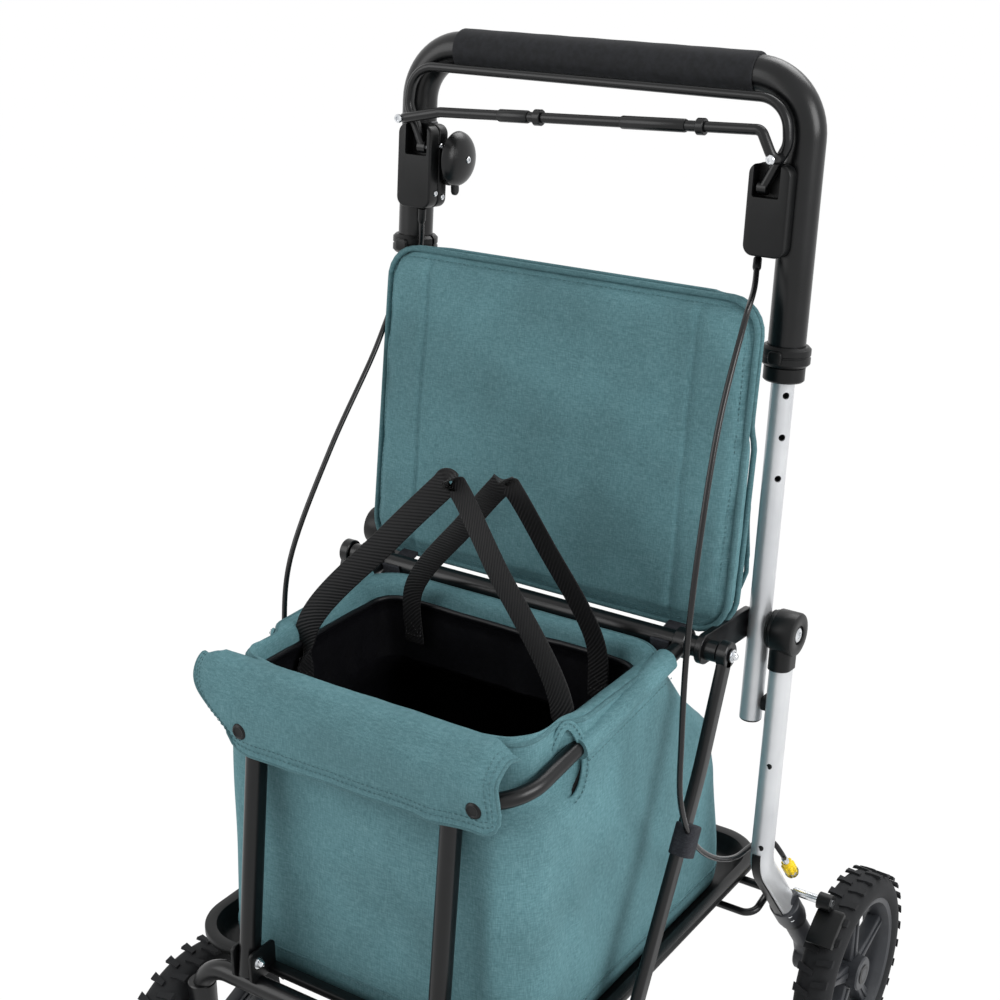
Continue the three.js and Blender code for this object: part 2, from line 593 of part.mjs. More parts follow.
const linkSeat = bar.offset - bar.wide / 2 - fit.gap;
const linkPath = bent([
  point(link.endLeft, linkSeat, along(link.endLow)), point(link.endLeft, link.offset, along(link.endLow)),
  point(link.left, link.offset, along(link.low)), point(link.right, link.offset, along(link.high)),
  point(link.endRight, link.offset, along(link.endLow)), point(link.endRight, linkSeat, along(link.endLow)),
], link.bend, 2);
const linkRise = Math.atan2(link.high - link.low, link.right - link.left);
const linkCollar = (x) => alongX(cylinder(link.collar, -link.collarLong / 2, link.collarLong / 2,
  grain.small))
  .rotateY(-linkRise)
  .translate(x, link.offset, along(link.low + (x - link.left) * Math.tan(linkRise)));
brake.add(mesh('link_rod', join(sweep(linkPath, circle(link.radius, grain.ball)),
  ...link.collars.map(linkCollar)), black));

// Bell on the left housing's inner face: a plate with its post, a thumb lever, and a hollow dome.
const bellFace = -(housing.x - housing.wide / 2) + fit.gap;
const bellLeverAt = bellFace + bell.plate + fit.gap;
const bellRim = bellLeverAt + bell.lever + fit.gap;
const onBell = (geometry) => alongX(geometry).translate(0, bell.offset, along(bell.z));
const bellPlate = plate(
  outline(2 * bell.plateRadius, 2 * bell.plateRadius + bell.plateReach, bell.plateRadius), bell.plate,
    bell.plate / 4, 1)
  .translate(0, -bell.plateReach / 2, bellFace);
handle.add(mesh('bell_base', join(onBell(bellPlate), onBell(turned([
  [0, bellFace], [bell.post, bellFace], [bell.post, bellRim + bell.deep - bell.shell - fit.gap],
  [0, bellRim + bell.deep - bell.shell - fit.gap],
], grain.small))), satin));
const domeShares = [[1, 0], [0.93, 0.45], [0.74, 0.76], [0.42, 0.95], [0, 1]];
const domeRing = (radius, deep) => domeShares.map(([out, high]) => [out * radius, bellRim + high * deep]);
handle.add(mesh('bell_dome', geometryOf(solidOf(onBell(turned([
  ...domeRing(bell.radius, bell.deep),
    ...domeRing(bell.radius - bell.shell, bell.deep - bell.shell).reverse(),
  [bell.radius, bellRim],
])))), chrome));
const bellLever = cut(
  join(
    cylinder(bell.plateRadius - fit.overrun, 0, bell.lever, grain.turn / 2),
    plate(outline(bell.leverLong, bell.leverWide, bell.leverWide / 2),
      bell.lever).translate(bell.leverLong / 2, 0, 0),
  ),
  cylinder(bell.post + fit.gap, -fit.overrun, bell.lever + fit.overrun, grain.small),
);
handle.add(mesh('bell_lever', alongX(bellLever).translate(bellLeverAt, bell.offset, along(bell.z)), satin));

// A skin through rings of points, closed at both ends; flat() gives a ring point's place in the cap.
function loft(rings, flat) {
  const size = rings[0].length;
  const positions = rings.flat().flatMap((spot) => [spot.x, spot.y, spot.z]);
  const faces = [];
  for (let ring = 0; ring < rings.length - 1; ring += 1) {
    for (let index = 0; index < size; index += 1) {
      const next = (index + 1) % size;
      const a = ring * size + index;
      const b = ring * size + next;
      faces.push(a, b, b + size, a, b + size, a + size);
    }
  }
  const cap = (ring, flip) => {
    THREE.ShapeUtils.triangulateShape(rings[ring].map(flat), []).forEach(([a, b, c]) => {
      const face = [ring * size + a, ring * size + b, ring * size + c];
      faces.push(...(flip ? face.reverse() : face));
    });
  };
  cap(0, true);
  cap(rings.length - 1, false);
  const geometry = new THREE.BufferGeometry();
  geometry.setAttribute('position', new THREE.BufferAttribute(new Float32Array(positions), 3));
  geometry.setIndex(faces);
  return geometry;
}
const planFlat = (spot) => new THREE.Vector2(spot.x, spot.y);
const ringAt = (shape, high, grow = 1) =>
  shape.getPoints().map((spot) => point(spot.x * grow, spot.y * grow, high));

// Cushion skin: back face, rounded side, and a front face that swells to its crown.
const cushionShares = [
  [0.78, 0, 0], [0.97, 0.45, 0], [1, 0.55, 0], [1, 0.8, 0], [0.975, 1, 0], [0.9, 1, 0.42], [0.72, 1, 0.8],
  [0.45, 1, 1],
];
const cushion = (shape, thick, crown) => loft(
  cushionShares.map(([grow, deep, swell]) => ringAt(shape, deep * thick + swell * crown, grow)), planFlat);
const lidTilt = Math.atan(lid.slope);
const lidHigh = (lid.high - lid.low) / Math.cos(lidTilt);
const lidDeep = lid.thick + lid.crown;
const lidGroup = new THREE.Group();
walker.add(lidGroup);
const lidPanel = mesh('lid_panel', geometryOf(solidOf(
  cushion(outline(2 * lid.half, lidHigh, lid.corner, 2 * grain.corner), lid.thick, lid.crown)
    .translate(0, lidHigh / 2, 0)
    .rotateX(turn))), teal);
const lidFoot = { y: lid.front + lidDeep / Math.cos(lidTilt), z: lid.low
  - cushionShares[2][1] * lid.thick * Math.sin(lidTilt) };
lidPanel.position.set(0, lidFoot.y, lidFoot.z);
lidPanel.rotation.x = -lidTilt;
lidGroup.add(lidPanel);

const tabRing = crossbar.radius + fit.gap + lid.tabThick;
const tabX = [lid.tabX - lid.tabWide / 2, lid.tabX + lid.tabWide / 2];
const lidTab = cut(
  join(
    disc(tabRing, crossbar.y, crossbar.z, tabX[0], tabX[1]),
    block(point(tabX[0], crossbar.y, lid.low - fit.gap - lid.tabThick),
      point(tabX[1], crossbar.y + lid.tongue, lid.low - fit.gap)),
  ),
  disc(crossbar.radius + fit.gap, crossbar.y, crossbar.z, tabX[0] - fit.overrun, tabX[1] + fit.overrun),
  block(
    point(tabX[0] - fit.overrun, crossbar.y - 2 * tabRing, lid.low - fit.gap),
    point(tabX[1] + fit.overrun, crossbar.y + 2 * tabRing, lid.low + 2 * tabRing),
  ),
);
pair(lidGroup, 'lid_tab', lidTab, grey);

// Back pocket: sewn to the lid's back, fuller at its foot, its top corners round.
const pocketShares = [
  [0, 0.94, 0.7], [0.03, 0.98, 0.95], [0.12, 1, 1], [0.5, 1, 0.8], [0.72, 0.97, 0.6], [0.88, 0.88, 0.42],
  [1, 0.7, 0.2],
];
const pocketRings = pocketShares.map(([rise, across, deep]) => {
  const high = pocket.low + rise * (pocket.high - pocket.low);
  const face = lidFoot.y + fit.gap + lid.slope * (high - lidFoot.z);
  const shape = outline(2 * pocket.half * across, deep * pocket.thickLow, deep * pocket.foot, 2);
  return ringAt(shape, high).map((spot) => spot.setY(spot.y + face + (deep * pocket.thickLow) / 2));
});
lidGroup.add(mesh('back_pocket', loft(pocketRings, planFlat), teal));

// Front frame: braces, seat tube, front legs, and the beam that carries the casters.
const braceFoot = point(brace.x, footBar.y, tray.floor - fit.gap - footBar.radius);
const bracePath = bent([
  point(brace.x, crossbar.y, crossbar.z), point(brace.x, brace.kneeY, brace.kneeZ), braceFoot,
], brace.bend, 2 * grain.bend);
const braceX = [brace.x - brace.thick / 2, braceOuter];
const bracePiece = cut(
  join(
    sweep(bracePath, outline(brace.thick, brace.wide, brace.thick / 3, 1)),
    disc(brace.eye, crossbar.y, crossbar.z, braceX[0], braceX[1]),
    disc(footBar.radius, braceFoot.y, braceFoot.z, braceX[0], braceX[1], grain.turn / 2),
  ),
  disc(pivotPin.radius + fit.gap, crossbar.y, crossbar.z, braceX[0] - fit.overrun, braceX[1] + fit.overrun,
    grain.small),
);
pair(walker, 'brace', bracePiece, black);
walker.add(mesh('foot_bar', geometryOf(solidOf(
  disc(footBar.radius, braceFoot.y, braceFoot.z, -footBar.half, footBar.half, grain.bar))), black));

const railEnd = point(seat.rearHalf, crossbar.y, crossbar.z);
const railFront = point(seat.half, seat.y, seat.z);
const seatPath = bent([railEnd, railFront, mirrorPoint(railFront), mirrorPoint(railEnd)], seat.bend,
  grain.bend + 2);
const eyeSpan = [seat.rearHalf - seat.eyeLong / 2, seat.rearHalf + seat.eyeLong / 2];
const seatEye = disc(seat.eye, crossbar.y, crossbar.z, eyeSpan[0], eyeSpan[1]);
const crossbarCut = disc(crossbar.radius + fit.gap, crossbar.y, crossbar.z, -crossbar.half, crossbar.half);
walker.add(mesh('seat_frame', cut(
  join(sweep(seatPath, circle(seat.radius, grain.bar)), seatEye, mirrored(geometryOf(solidOf(seatEye)))),
  crossbarCut,
), black));

const frontLegPath = [
  point(frontLeg.x, beam.y, beam.z + beam.radius + fit.gap),
  point(frontLeg.x, seat.y, seat.z - seat.radius - fit.gap),
];
pair(walker, 'front_leg', sweep(frontLegPath, outline(frontLeg.wide, frontLeg.deep, frontLeg.wide / 2)),
  black);

const beamEnd = point(beam.half, beam.y, beam.end);
const beamCorner = point(beam.half, beam.y, beam.z);
const stemTop = caster.cupHigh - caster.roof;
const casterCup = cylinder(caster.cup, beam.end, caster.cupHigh, grain.turn / 2).translate(beam.half,
  beam.y, 0);
const stemBore = cylinder(caster.stem + fit.gap, beam.end - fit.overrun, stemTop + fit.gap, grain.turn)
  .translate(beam.half, beam.y, 0);
walker.add(mesh('front_beam', cut(
  join(
    sweep(bent([beamEnd, beamCorner, mirrorPoint(beamCorner), mirrorPoint(beamEnd)], beam.bend, grain.bend
      + 2),
      circle(beam.radius, grain.bar)),
    casterCup,
    mirrored(geometryOf(solidOf(casterCup))),
  ),
  stemBore,
  mirrored(geometryOf(solidOf(stemBore))),
), black));

const crownHigh = beam.end - fit.gap;
const frontFace = front.x - wheel.hubWide / 2 - fit.gap;
const forkPiece = join(
  turned([
    [0, caster.low], [caster.crown, caster.low], [caster.crown, crownHigh], [caster.stem, crownHigh],
    [caster.stem, stemTop], [0, stemTop],
  ], grain.turn).translate(beam.half, beam.y, 0),
  sweep([point(caster.armX, beam.y, (caster.low + crownHigh) / 2),
    point(caster.armX, front.y, wheel.radius)],
    outline(caster.armThick, caster.arm, caster.armThick / 3, 2)),
  disc(caster.boss, front.y, wheel.radius, caster.armX - caster.armThick / 2, frontFace, grain.turn / 2),
  disc(axleTube.pin, front.y, wheel.radius, caster.armX, front.x + wheel.width / 2, grain.small),
);
pair(walker, 'caster_fork', forkPiece, black);

// Tray: a drafted tub under a flanged rim, with ears in front that clasp the front legs.
const trayMiddle = (tray.front + tray.rear) / 2;
const trayPlan = (inset, corner) => outline(
  2 * (tray.half - inset), tray.rear - tray.front - 2 * inset, Math.max(corner - inset, tray.flange));
const trayRing = (inset, high) => ringAt(trayPlan(inset, tray.corner), high)
  .map((spot) => spot.setY(spot.y + trayMiddle));
const lipLow = tray.rim - tray.lip;
const rimLow = tray.rim - tray.rimThick;
const tubInset = tray.flange + tray.draft;
const trayEar = (x) => sidePlate(outline(tray.earHigh - lipLow, -tray.earOut + tray.front + tray.flange,
  tray.earCorner), tray.earWide)
  .rotateX(turn)
  .translate(x, (tray.earOut + tray.front + tray.flange) / 2, (tray.earHigh + lipLow) / 2);
const earX = frontLeg.x + frontLeg.wide / 2 + tray.earGap;
const ears = [earX, frontLeg.x - frontLeg.wide / 2 - tray.earGap - tray.earWide].map(trayEar);
const trayShell = cut(
  join(
    loft([trayRing(tubInset, tray.floor), trayRing(tray.flange, rimLow), trayRing(tray.flange, tray.rim)],
      planFlat),
    loft([trayRing(0, lipLow), trayRing(0, tray.rim)], planFlat),
  ),
  loft([
    trayRing(tubInset + tray.wall, tray.floor + tray.wall), trayRing(tray.flange + tray.wall, rimLow),
    trayRing(tray.flange + tray.wall, tray.rim + fit.overrun),
  ], planFlat),
);
const lipHollow = cut(
  loft([trayRing(tray.wall, lipLow - fit.overrun), trayRing(tray.wall, rimLow)], planFlat),
  loft([
    trayRing(tubInset, tray.floor - fit.overrun), trayRing(tubInset, tray.floor),
    trayRing(tray.flange, rimLow), trayRing(tray.flange, tray.rim + fit.overrun),
  ], planFlat),
);
const beamRoom = alongX(cylinder(beam.radius + 2 * fit.gap, -beam.half, beam.half)).translate(0, beam.y,
  beam.z);
walker.add(mesh('tray', join(cut(trayShell, lipHollow), cut(
  join(...ears, ...ears.map((ear) => mirrored(geometryOf(solidOf(ear))))), beamRoom)), satin));

// Bag: a tapered sack with an open top, a deck in front of the opening, and a sleeve for each side rail.
const bagTop = bag.deck - bag.drop;
const linerTop = bag.deck - liner.drop;
const bagShares = [
  [0, 1, 1], [0.15, 1, 0.987], [0.43, 0.99, 0.933], [0.6, 0.975, 0.853], [0.73, 0.968, 0.58],
  [0.95, 0.963, 0.22], [1, 0.963, 0.2],
];
const bagRings = (inset, low, high) => bagShares.map(([rise, across, back]) => {
  const frontY = bag.footFront + rise * (bag.front - bag.footFront) + inset;
  const rearY = bag.rear * back - inset;
  const shape = outline(2 * (bag.foot * across - inset), rearY - frontY, bag.corner - inset);
  return ringAt(shape, low + rise * (high - low)).map((spot) => spot.setY(spot.y + (rearY + frontY) / 2));
});
const bagOuter = loft(bagRings(0, bag.low, bag.deck), planFlat);
const bagInner = loft(bagRings(bag.wall, bag.low + bag.wall, bag.deck - bag.wall), planFlat);
const mouth = (inset, low, high) => plate(
  outline(2 * (bag.half - inset), 2 * bag.backTilt, bag.corner - inset), high - low)
  .translate(0, bag.deckRear + bag.backTilt, low);
const deckApron = block(
  point(-bag.apron, bag.deckRear - bag.wall, linerTop - bag.corner / 2),
  point(bag.apron, bag.deckRear, bag.deck - bag.wall / 2),
);
const sleevePath = [
  railFront.clone().lerp(railEnd, seat.bend / railFront.distanceTo(railEnd)),
  railFront.clone().lerp(railEnd, (bag.sleeveRear - seat.y) / (crossbar.y - seat.y)),
];
const railSleeve = sweep(sleevePath, circle(bag.sleeve, grain.bar));
const bagTrim = block(
  point(-bag.foot, bag.deckRear, bagTop), point(bag.foot, bag.rear, bag.deck + fit.overrun));
walker.add(mesh('bag', cut(
  join(
    cut(bagOuter, bagInner, mouth(bag.wall + bag.lip, bagTop - 2 * bag.lip, bag.deck + fit.overrun),
      bagTrim),
    railSleeve,
    mirrored(geometryOf(solidOf(railSleeve))),
    deckApron,
  ),
  sweep(seatPath, circle(seat.radius + fit.gap, grain.bar)),
  disc(seat.eye + 2 * fit.gap, crossbar.y, crossbar.z, -crossbar.half, crossbar.half),
  block(point(-bag.foot, bag.deckRear, bag.deck), point(bag.foot, bag.rear, bag.deck + fit.overrun)),
), teal));

const flapHigh = bag.deck - flap.drop;
const flapKnee = bag.deck - flap.kneeDrop;
const flapLow = bag.deck - flap.hang;
const flapLine = [
  [flap.start, bag.deck + fit.gap + flap.thick / 2], [flap.shoulder, bag.deck + fit.gap + flap.thick / 2],
  [(flap.shoulder + 2 * flap.front) / 3, flapHigh], [flap.front, flapKnee],
  [flap.front, (flapKnee + flapLow) / 2], [flap.front, flapLow],
];
const flapSides = flapLine.map(([y, z], index) => {
  const before = flapLine[Math.max(index - 1, 0)];
  const after = flapLine[Math.min(index + 1, flapLine.length - 1)];
  const run = new THREE.Vector2(after[0] - before[0], after[1] - before[1]).normalize();
  return { y, z, outY: run.y * flap.thick / 2, outZ: -run.x * flap.thick / 2 };
});
const flapRing = (share) => {
  const x = flap.middle + (2 * share - 1) * flap.half;
  const swell = flap.fold * (1 - Math.cos(full * flap.folds * share)) / 2;
  const slant = flap.slant * (share - 1 / 2);
  const spot = (side, sign) => {
    const hang = THREE.MathUtils.clamp((flapHigh - side.z) / (flapHigh - flapLow), 0, 1);
    return point(x, side.y - swell * hang + sign * side.outY, side.z - slant * hang + sign * side.outZ);
  };
  return [...flapSides.map((side) => spot(side, 1)),
    ...[...flapSides].reverse().map((side) => spot(side, -1))];
};
const sideFlat = (spot) => new THREE.Vector2(spot.y, spot.z);
const flapRings = Array.from({ length: flap.steps + 1 }, (_, index) => flapRing(index / flap.steps));
const flapArea = THREE.ShapeUtils.area(flapRings[0].map(sideFlat));
walker.add(mesh('bag_flap', loft(
  flapArea > 0 ? flapRings : flapRings.map((ringPoints) => [...ringPoints].reverse()), sideFlat), teal));

const linerFront = bag.deckRear + fit.gap;
const linerPlan = (inset) => outline(
  2 * (liner.half - inset), liner.rear - linerFront - 2 * inset, liner.corner - inset);
const linerBand = (thick, low, high) => {
  const shape = linerPlan(0);
  shape.holes.push(new THREE.Path(linerPlan(thick).getPoints()));
  return plate(shape, high - low).translate(0, (liner.rear + linerFront) / 2, low);
};
walker.add(mesh('liner', join(
  linerBand(liner.thick, linerTop - liner.deep, linerTop),
  linerBand(liner.rim, linerTop - liner.rimDeep, linerTop),
), dark));

// Where a strap passes the liner's rim and its middle: share of the way across, and of the way to the peak.
const strapShares = { rim: [0.98, 0.1], middle: [0.5, 0.6] };
const strapPiece = (half, footY, peak) => {
  const rise = (share) => footY + (peak.y - footY) * share;
  const [rimAcross, rimRise] = strapShares.rim;
  const [midAcross, midRise] = strapShares.middle;
  const across = (side, share) => side * half + (peak.x - side * half) * share;
  const climb = (side) => [
    point(side * half, footY, strap.footZ), point(side * half * rimAcross, rise(rimRise), strap.rimZ),
    point(across(side, midAcross), rise(midRise), strap.midZ),
  ];
  const curve = new THREE.CatmullRomCurve3([...climb(1), peak, ...climb(-1).reverse()]);
  return sweep(curve.getSpacedPoints(strap.steps), outline(strap.thick, strap.wide, strap.thick / 2, 1));
};
const strapSeat = liner.rim + fit.gap + strap.wide / 2;
walker.add(mesh('strap_front', strapPiece(strap.half, linerFront + strapSeat + strap.lean,
  strapPeak.front), webbing));
walker.add(mesh('strap_rear', strapPiece(strap.rearHalf, liner.rear - strapSeat + strap.rearLean,
  strapPeak.rear), webbing));

// Brake cables, each whole from its housing to the adjuster on the leg.
const adjusterTop = point(adjuster.x, adjuster.y, adjuster.z)
  .addScaledVector(legSlope, -(adjuster.long + adjuster.stemLong + 2 * fit.gap));
const cableEnd = adjusterTop.clone().addScaledVector(legSlope, -cable.lead);
[['right', 1], ['left', -1]].forEach(([side, sign]) => {
  const lower = [...cableLower, cableEnd, adjusterTop].map((spot) => (sign > 0 ? spot : mirrorPoint(spot)));
  const curve = new THREE.CatmullRomCurve3([...cableUpper[side], ...lower], false, 'centripetal');
  walker.add(mesh(`brake_cable_${side}`,
    sweep(curve.getSpacedPoints(cable.steps), circle(cable.radius, grain.ball)), satin));
});

export default walker;
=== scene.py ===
# A shopping rollator with a cloth bag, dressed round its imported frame. Sizes are in millimetres.
import math
import random

import bmesh
import bpy
from mathutils import Matrix, Vector, noise


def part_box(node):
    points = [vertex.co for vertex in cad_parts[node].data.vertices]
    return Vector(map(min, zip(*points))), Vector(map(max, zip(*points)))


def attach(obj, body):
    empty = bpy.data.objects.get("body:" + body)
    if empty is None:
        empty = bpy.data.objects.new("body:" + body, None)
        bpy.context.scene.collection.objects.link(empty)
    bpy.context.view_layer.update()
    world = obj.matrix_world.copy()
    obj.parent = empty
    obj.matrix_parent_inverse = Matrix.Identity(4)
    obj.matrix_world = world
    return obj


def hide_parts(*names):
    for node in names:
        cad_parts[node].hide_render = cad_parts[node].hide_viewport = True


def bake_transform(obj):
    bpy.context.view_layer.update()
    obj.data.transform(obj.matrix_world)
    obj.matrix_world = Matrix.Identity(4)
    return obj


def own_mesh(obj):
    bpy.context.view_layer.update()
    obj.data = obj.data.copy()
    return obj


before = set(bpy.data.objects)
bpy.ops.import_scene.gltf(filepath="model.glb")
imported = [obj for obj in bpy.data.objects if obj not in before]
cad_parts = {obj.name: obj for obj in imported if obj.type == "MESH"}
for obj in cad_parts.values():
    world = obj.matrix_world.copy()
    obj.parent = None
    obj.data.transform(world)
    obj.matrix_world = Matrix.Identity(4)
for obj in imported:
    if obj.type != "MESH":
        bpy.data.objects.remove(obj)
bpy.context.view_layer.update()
random.seed(11)

midShift = 4.5  # the frame puts the middle between the axles on y = 0
sides = {"right": 1, "left": -1}


# Drawing millimetres to the frame's metres.
def at(x, y, z):
    return Vector((x, y - midShift, z)) / 1000


mast = {"x": 193, "pivotY": 120.4, "pivotZ": 494, "lean": math.radians(5.3)}


# How far up the leaning mast a height lies, from its pivot.
def along(high):
    return (high - mast["pivotZ"]) / math.cos(mast["lean"])


def mastY(high):
    return mast["pivotY"] + (high - mast["pivotZ"]) * math.tan(mast["lean"])


# A place on the leaning mast: across, out from its line, and up along it from the pivot.
def onMast(x, out, up):
    sine, cosine = math.sin(mast["lean"]), math.cos(mast["lean"])
    return (x, mast["pivotY"] + out * cosine + up * sine, mast["pivotZ"] - out * sine + up * cosine)


mastAxis = Vector(onMast(0, 0, 1)) - Vector(onMast(0, 0, 0))


# A hex colour as the linear numbers that a shader takes.
def hexColour(code):
    shares = [int(code[start:start + 2], 16) / 255 for start in (0, 2, 4)]
    return tuple(s / 12.92 if s <= 0.04045 else ((s + 0.055) / 1.055) ** 2.4 for s in shares) + (1,)


def addNode(tree, kind, inputs=None, **settings):
    node = tree.nodes.new(kind)
    for name, value in settings.items():
        setattr(node, name, value)
    for socket, value in (inputs or {}).items():
        if isinstance(value, bpy.types.NodeSocket):
            tree.links.new(value, node.inputs[socket])
        else:
            node.inputs[socket].default_value = value
    return node


def perMetre(size):
    return 1000 / size  # how many of a thing this many millimetres wide fit in a metre


# A material with its tree, its shader and the object's own coordinates in metres.
def startMaterial(name, **shader):
    material = bpy.data.materials.new(name)
    material.use_nodes = True
    tree = material.node_tree
    principled = tree.nodes["Principled BSDF"]
    for socket, value in shader.items():
        principled.inputs[socket.replace("_", " ")].default_value = value
    place = addNode(tree, "ShaderNodeTexCoord").outputs["Object"]
    return material, tree, principled, place


# A colour ramp over a value, from stops of a position and a shade.
def rampOf(tree, value, *stops):
    ramp = addNode(tree, "ShaderNodeValToRGB", {"Fac": value})
    for element, (position, shade) in zip(ramp.color_ramp.elements, (stops[0], stops[-1])):
        element.position = position
        element.color = hexColour(shade)
    for position, shade in stops[1:-1]:
        ramp.color_ramp.elements.new(position).color = hexColour(shade)
    return ramp.outputs["Color"]


# A colour that drifts between two shades with soft noise of a real size.
def driftColour(tree, place, size, dark, light, low=0.35, high=0.65):
    cloud = addNode(tree, "ShaderNodeTexNoise", {"Vector": place, "Scale": perMetre(size), "Detail": 3})
    return cloud.outputs["Fac"], rampOf(tree, cloud.outputs["Fac"], (low, dark), (high, light))


def rangeOf(tree, value, low, high):
    spread = addNode(tree, "ShaderNodeMapRange", {"Value": value, "To Min": low, "To Max": high})
    return spread.outputs["Result"]


def mathOf(tree, first, second, operation):
    return addNode(tree, "ShaderNodeMath", {0: first, 1: second}, operation=operation).outputs[0]


# Gives a shader its colour and a relief of a real depth.
def setSurface(tree, principled, colour, height, depth, strength):
    bump = addNode(tree, "ShaderNodeBump",
                   {"Height": height, "Strength": strength, "Distance": depth / 1000})
    tree.links.new(colour, principled.inputs["Base Color"])
    tree.links.new(bump.outputs["Normal"], principled.inputs["Normal"])


# Powder-coated or moulded parts: a drift of shade, a fine skin and slightly uneven gloss.
def skinMaterial(name, dark, light, rough, grain, depth, metallic=0.0, ior=1.5, drift=30, shine=0.5):
    material, tree, principled, place = startMaterial(
        name, Metallic=metallic, IOR=ior, Specular_IOR_Level=shine)
    wide, colour = driftColour(tree, place, drift, dark, light)
    fine = addNode(tree, "ShaderNodeTexNoise", {"Vector": place, "Scale": perMetre(grain), "Detail": 2})
    tree.links.new(rangeOf(tree, wide, rough * 0.86, rough * 1.16), principled.inputs["Roughness"])
    setSurface(tree, principled, colour, fine.outputs["Fac"], depth, 0.6)
    return material


# Polyester canvas in a plain weave: threads of two dye lots give the melange, each thread a low ridge.
# Real threads are 0.4 mm apart; they are drawn 0.9 mm apart, about as fine as the picture can still show.
def canvasMaterial(name, dark, middle, light, thread=0.9, sheen=0.18, rough=0.85):
    contrast = 0.55
    material, tree, principled, place = startMaterial(
        name, Roughness=rough, Sheen_Weight=sheen, Sheen_Roughness=0.5, Sheen_Tint=hexColour(light),
        Specular_IOR_Level=0.25)
    across, along = perMetre(6 * thread), perMetre(thread)  # a slub runs about six threads
    threads = []
    for scale in ((across, across, along), (along, along, across)):
        spread = addNode(tree, "ShaderNodeMapping", {"Vector": place, "Scale": scale})
        threads.append(addNode(tree, "ShaderNodeTexNoise", {
            "Vector": spread.outputs[0], "Scale": 1.0, "Detail": 1}).outputs["Fac"])
    weave = mathOf(tree, mathOf(tree, *threads, "ADD"), 0.5, "MULTIPLY")
    spread = 0.14 / contrast
    melange = rampOf(tree, weave, (0.5 - spread, dark), (0.5, middle), (0.5 + spread, light))
    shade = driftColour(tree, place, 90, "e4e4e4", "ffffff")[1]
    mixed = addNode(tree, "ShaderNodeMix", {0: 1.0, 6: melange, 7: shade}, data_type="RGBA",
                    blend_type="MULTIPLY")
    setSurface(tree, principled, mixed.outputs[2], weave, 0.28, 0.75)
    return material


# Ribbed polypropylene webbing: close ridges across the strap, with a herringbone drift.
def webbingMaterial(name, dark, light):
    rib = 1.6
    material, tree, principled, place = startMaterial(
        name, Roughness=0.62, Sheen_Weight=0.08, Sheen_Roughness=0.4, Specular_IOR_Level=0.25)
    uv = addNode(tree, "ShaderNodeUVMap").outputs["UV"]
    ribs = addNode(tree, "ShaderNodeTexWave", {
        "Vector": uv, "Scale": perMetre(4 * rib), "Distortion": 0.6, "Detail": 1.0,
    }, bands_direction="DIAGONAL").outputs["Fac"]
    colour = driftColour(tree, place, 0.9, dark, light, 0.3, 0.7)[1]
    mixed = addNode(tree, "ShaderNodeMix", {0: ribs, 6: hexColour(dark), 7: colour}, data_type="RGBA")
    setSurface(tree, principled, mixed.outputs[2], ribs, 0.5, 0.8)
    return material


# Mild steel tube under satin black powder coat: deep black, a clean broad highlight, faint orange peel.
blackCoat = skinMaterial("powder_coated_steel", "060708", "0b0c0e", 0.29, 1.6, 0.04, shine=0.34)
# Aluminium tube under silver lacquer: pale grey with a metal sheen and a very fine flake.
silverLacquer = skinMaterial("lacquered_aluminium", "c6c8cb", "d6d8da", 0.36, 0.8, 0.03, metallic=0.6,
                             drift=60)
# Glass-filled nylon: near black, soft broad highlight, spark-eroded grain.
blackNylon = skinMaterial("moulded_nylon", "08090a", "0e0f10", 0.38, 0.5, 0.04, shine=0.24)
# EVA foam sleeve: matt charcoal with open pores.
foamSleeve = skinMaterial("eva_foam", "1a1b1d", "28292c", 0.92, 0.7, 0.28, ior=1.4, drift=6)
# Vulcanised rubber: matt dark grey with a dusty bloom.
tyreRubber = skinMaterial("vulcanised_rubber", "151618", "202123", 0.8, 0.9, 0.12, drift=14, shine=0.3)
# Grey polyamide moulding of the lower tubes and hubs: mid grey, softly shining.
greyNylon = skinMaterial("grey_polyamide", "2b2d31", "383a3e", 0.44, 0.6, 0.05, shine=0.36)
# Zinc-plated steel screws and nuts: bright, cool and slightly brushed.
zincSteel = skinMaterial("zinc_plated_steel", "c3c6ca", "e2e4e6", 0.2, 0.5, 0.02, metallic=1.0, drift=4)
# Acetal in safety yellow: waxy and even.
yellowAcetal = skinMaterial("yellow_acetal", "f3cc12", "fbdc24", 0.42, 0.8, 0.03, drift=8)
# PVC sleeve of the brake cables: smooth black with a wet highlight.
pvcSleeve = skinMaterial("pvc_sleeve", "060607", "0b0b0d", 0.26, 2.0, 0.03, shine=0.4)
# Teal polyester canvas of the lid, bag and flap: mottled blue-green, matt, a dry sheen at grazing light.
tealCanvas = canvasMaterial("teal_polyester_canvas", "4d757b", "5f888f", "749ca2")
# The same cloth folded over cord: darker, tighter piping.
tealPiping = canvasMaterial("teal_piping", "44696f", "54797f", "678d93", thread=0.8)
# Black coated nylon of the liner: deep black, sharp little highlights in its creases.
linerNylon = canvasMaterial("black_coated_nylon", "09090b", "0e0e11", "18181c", thread=0.7, sheen=0.05,
                            rough=0.38)
# Charcoal cloth of the lid's hinge tabs.
tabCloth = canvasMaterial("charcoal_cloth", "1e1f23", "2b2c31", "3b3d42", thread=0.8)
# Black polypropylene webbing of the carrying straps.
blackWebbing = webbingMaterial("polypropylene_webbing", "060607", "121214")
print("materials ready")


